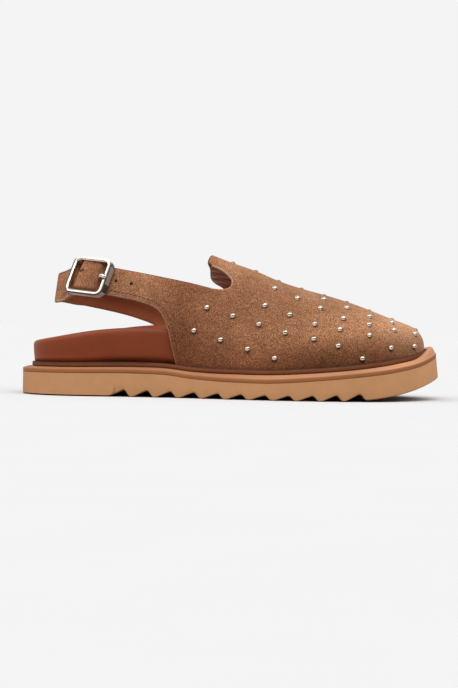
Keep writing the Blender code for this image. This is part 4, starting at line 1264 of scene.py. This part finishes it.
def suede_look(name, dark, middle, light, toning=None):
    """Brushed suede: fine speckled nap, with painted light to the toe and painted shade on the quarter and down
    by the welt.
    """
    n = Look(name)
    speckle = n.noise(0.62, roughness=0.6)
    mottle = n.noise(3.6, stretch=(0.5, 1.0, 1.0))
    patch = n.noise(30.0, detail=2.0)
    base = n.ramp(speckle, ((0.385, dark), (0.5, middle), (0.615, light)))
    base = n.times(base, n.ramp(mottle, ((0.3, (0.88, 0.87, 0.86)), (0.7, (1.12, 1.12, 1.12)))))
    base = n.times(base, n.ramp(patch, ((0.3, (0.90, 0.90, 0.90)), (0.7, (1.10, 1.10, 1.10)))))
    for tones in SUEDE_PAINTED_LIGHT_AND_SHADE + ((toning,) if toning else ()):
        base = n.toned(base, *tones)
    for spot in SUEDE_PAINTED_LIGHT_SPOTS:
        base = n.spotted(base, *spot)
    fibres = n.blend(speckle, 0.7, n.noise(0.3, detail=2.0), 0.3)
    return n.finish(
        Base_Color=base, Normal=n.bump(fibres, 0.6, 0.45), Roughness=0.95, Specular_IOR_Level=0.1,
        Sheen_Weight=0.28, Sheen_Roughness=0.45, Sheen_Tint=(1.0, 0.74, 0.52),
    )


def leather_look(name, dark, light, roughness, toning=None, grain=0.9):
    """Leather: broad and fine clouding over a cell grain of the given size."""
    n = Look(name)
    fine = n.noise(1.6)
    base = n.ramp(n.blend(n.noise(22.0), 0.65, fine, 0.35), ((0.3, dark), (0.7, light)))
    return n.finish(
        Base_Color=n.toned(base, *toning) if toning else base,
        Normal=n.bump(n.blend(n.cells(grain), 1.0, fine, 0.6), 0.18, 0.12),
        Roughness=n.between(fine, roughness - 0.06, roughness + 0.08), Specular_IOR_Level=0.3,
    )


def foam_look(name, dark, light):
    """Sole foam: fine pores and soft clouding."""
    n = Look(name)
    pores = n.noise(0.5, roughness=0.6)
    cloud = n.noise(9.0, detail=4.0)
    base = n.ramp(n.blend(pores, 0.4, cloud, 0.6), ((0.3, dark), (0.7, light)))
    return n.finish(
        Base_Color=n.toned(base, *FOAM_PAINTED_LIGHT), Normal=n.bump(pores, 0.35, 0.2),
        Roughness=n.between(cloud, 0.66, 0.8), Specular_IOR_Level=0.35,
    )


def metal_look(name, colour, roughness, metallic=1.0):
    """Metal with faint wear."""
    n = Look(name)
    wear = n.noise(1.2, detail=4.0)
    worn = [0.92 * c for c in colour]
    return n.finish(
        Base_Color=n.ramp(wear, ((0.35, worn), (0.65, colour))), Normal=n.bump(wear, 0.03, 0.05),
        Roughness=n.between(n.noise(0.6, detail=2.0), roughness - 0.03, roughness + 0.05), Metallic=metallic,
    )


def floor_look():
    """Pale floor that throws little light back on the shoe, as a small lit table would."""
    n = Look("pale_floor")
    pale = n.ramp(n.noise(40.0), ((0.3, (0.650, 0.650, 0.650)), (0.7, (0.658, 0.658, 0.658))))
    seen = n.mix(pale, [FLOOR_BOUNCE] * 3, n.add("LightPath")["Is Diffuse Ray"])
    return n.finish(Base_Color=seen, Roughness=0.9, Specular_IOR_Level=0.0)


def make_stage():
    """Floor, sky with a bright backdrop behind the shoe, and soft lights."""
    corners = [(x * FLOOR_HALF, y * FLOOR_HALF, 0.0) for x, y in ((-1, -1), (1, -1), (1, 1), (-1, 1))]
    floor = mesh_object("floor", corners, [(0, 1, 2, 3)], [floor_look()])
    n = Nodes(bpy.data.worlds.new("studio"))
    bpy.context.scene.world = n.owner
    direction = n.add("SeparateXYZ", {0: n.add("TexCoord")["Generated"]})
    height = n.add("MapRange", {"Value": direction["Z"], "From Min": -1.0})[0]
    sky = n.ramp(height, [(position, [level] * 3) for position, level in SKY])
    reach = {"Value": direction["Y"], "From Min": BACKDROP_FROM, "From Max": BACKDROP_FULL}
    behind = n.add("MapRange", {**reach, "To Min": SKY_IN_METAL, "To Max": BACKDROP})[0]
    rays = n.add("LightPath")
    in_metal = n.mix(sky, behind, rays["Is Glossy Ray"])
    seen = n.mix(in_metal, [BACKDROP] * 3, rays["Is Camera Ray"])
    n.put(seen, n.tree.nodes["Background"].inputs["Color"])
    for name, strength, angle, turn in SUNS:
        light = bpy.data.lights.new(name, "SUN")
        light.energy = strength
        light.angle = math.radians(angle)
        linked(name, light).rotation_euler = [math.radians(v) for v in turn]


def make_camera():
    data = bpy.data.cameras.new("camera")
    data.sensor_width = SENSOR
    data.lens = SENSOR * CAMERA_DISTANCE / IMAGE_HEIGHT
    data.clip_start = 0.01
    camera = linked("camera", data)
    eye = Vector((CAMERA_X, -CAMERA_DISTANCE, CAMERA_HEIGHT)) * MM
    target = Vector((CAMERA_X, 0.0, AIM_HEIGHT)) * MM
    aim = (target - eye).to_track_quat("-Z", "Y").to_matrix().to_4x4()
    camera.matrix_world = Matrix.Translation(eye) @ aim @ Matrix.Rotation(CAMERA_ROLL, 4, "Z")
    bpy.context.scene.camera = camera


def fit(piece, slot, *nodes):
    """The piece rides on the shoe and stands for CAD nodes; its finish slot is not used."""
    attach(piece, "root")
    if nodes:
        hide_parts(*nodes)


def main():
    looks = {"sole_foam": foam_look("sole_foam", *FOAM)}
    for make_look, kinds in ((suede_look, SUEDES), (leather_look, LEATHERS), (metal_look, METALS)):
        looks.update({name: make_look(name, *values) for name, values in kinds.items()})

    def pick(*names):
        return [looks[name] for name in names]

    stud_nodes = sorted(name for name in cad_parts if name.startswith("stud_"))
    fit(make_outsole(pick("sole_foam")), "sole_foam", "outsole")
    fit(make_midsole(pick("midsole_side", "midsole_flange")), "midsole_leather", "midsole")
    fit(make_welt(pick("welt_leather", "welt_dark")), "welt_leather", "welt")
    fit(make_footbed(pick("footbed_leather")), "footbed_leather", "footbed")
    upper_looks = pick("suede", "suede_edge", "vamp_lining", "strap_lining", "suede_rim")
    fit(make_upper(upper_looks), "suede", "upper")
    frame_looks = pick("nickel", "nickel_satin", "nickel_tarnish", "nickel_pale")
    fit(make_buckle_frame(frame_looks), "nickel", "buckle_frame")
    fit(make_prong(pick("nickel")), "nickel", "buckle_prong")
    fit(make_studs(pick("stud_nickel", "stud_shade")), "nickel", *stud_nodes)
    fit(make_strap_loop(pick("suede_loop")), "suede")
    fit(make_loop_slot(pick("slot_dark")), "suede")
    fit(make_strap_holes(pick("hole_dark")), "suede")
    fit(make_stitches(pick("thread")), "suede")
    make_stage()
    make_camera()
    bpy.context.scene.view_settings.view_transform = "Standard"


main()
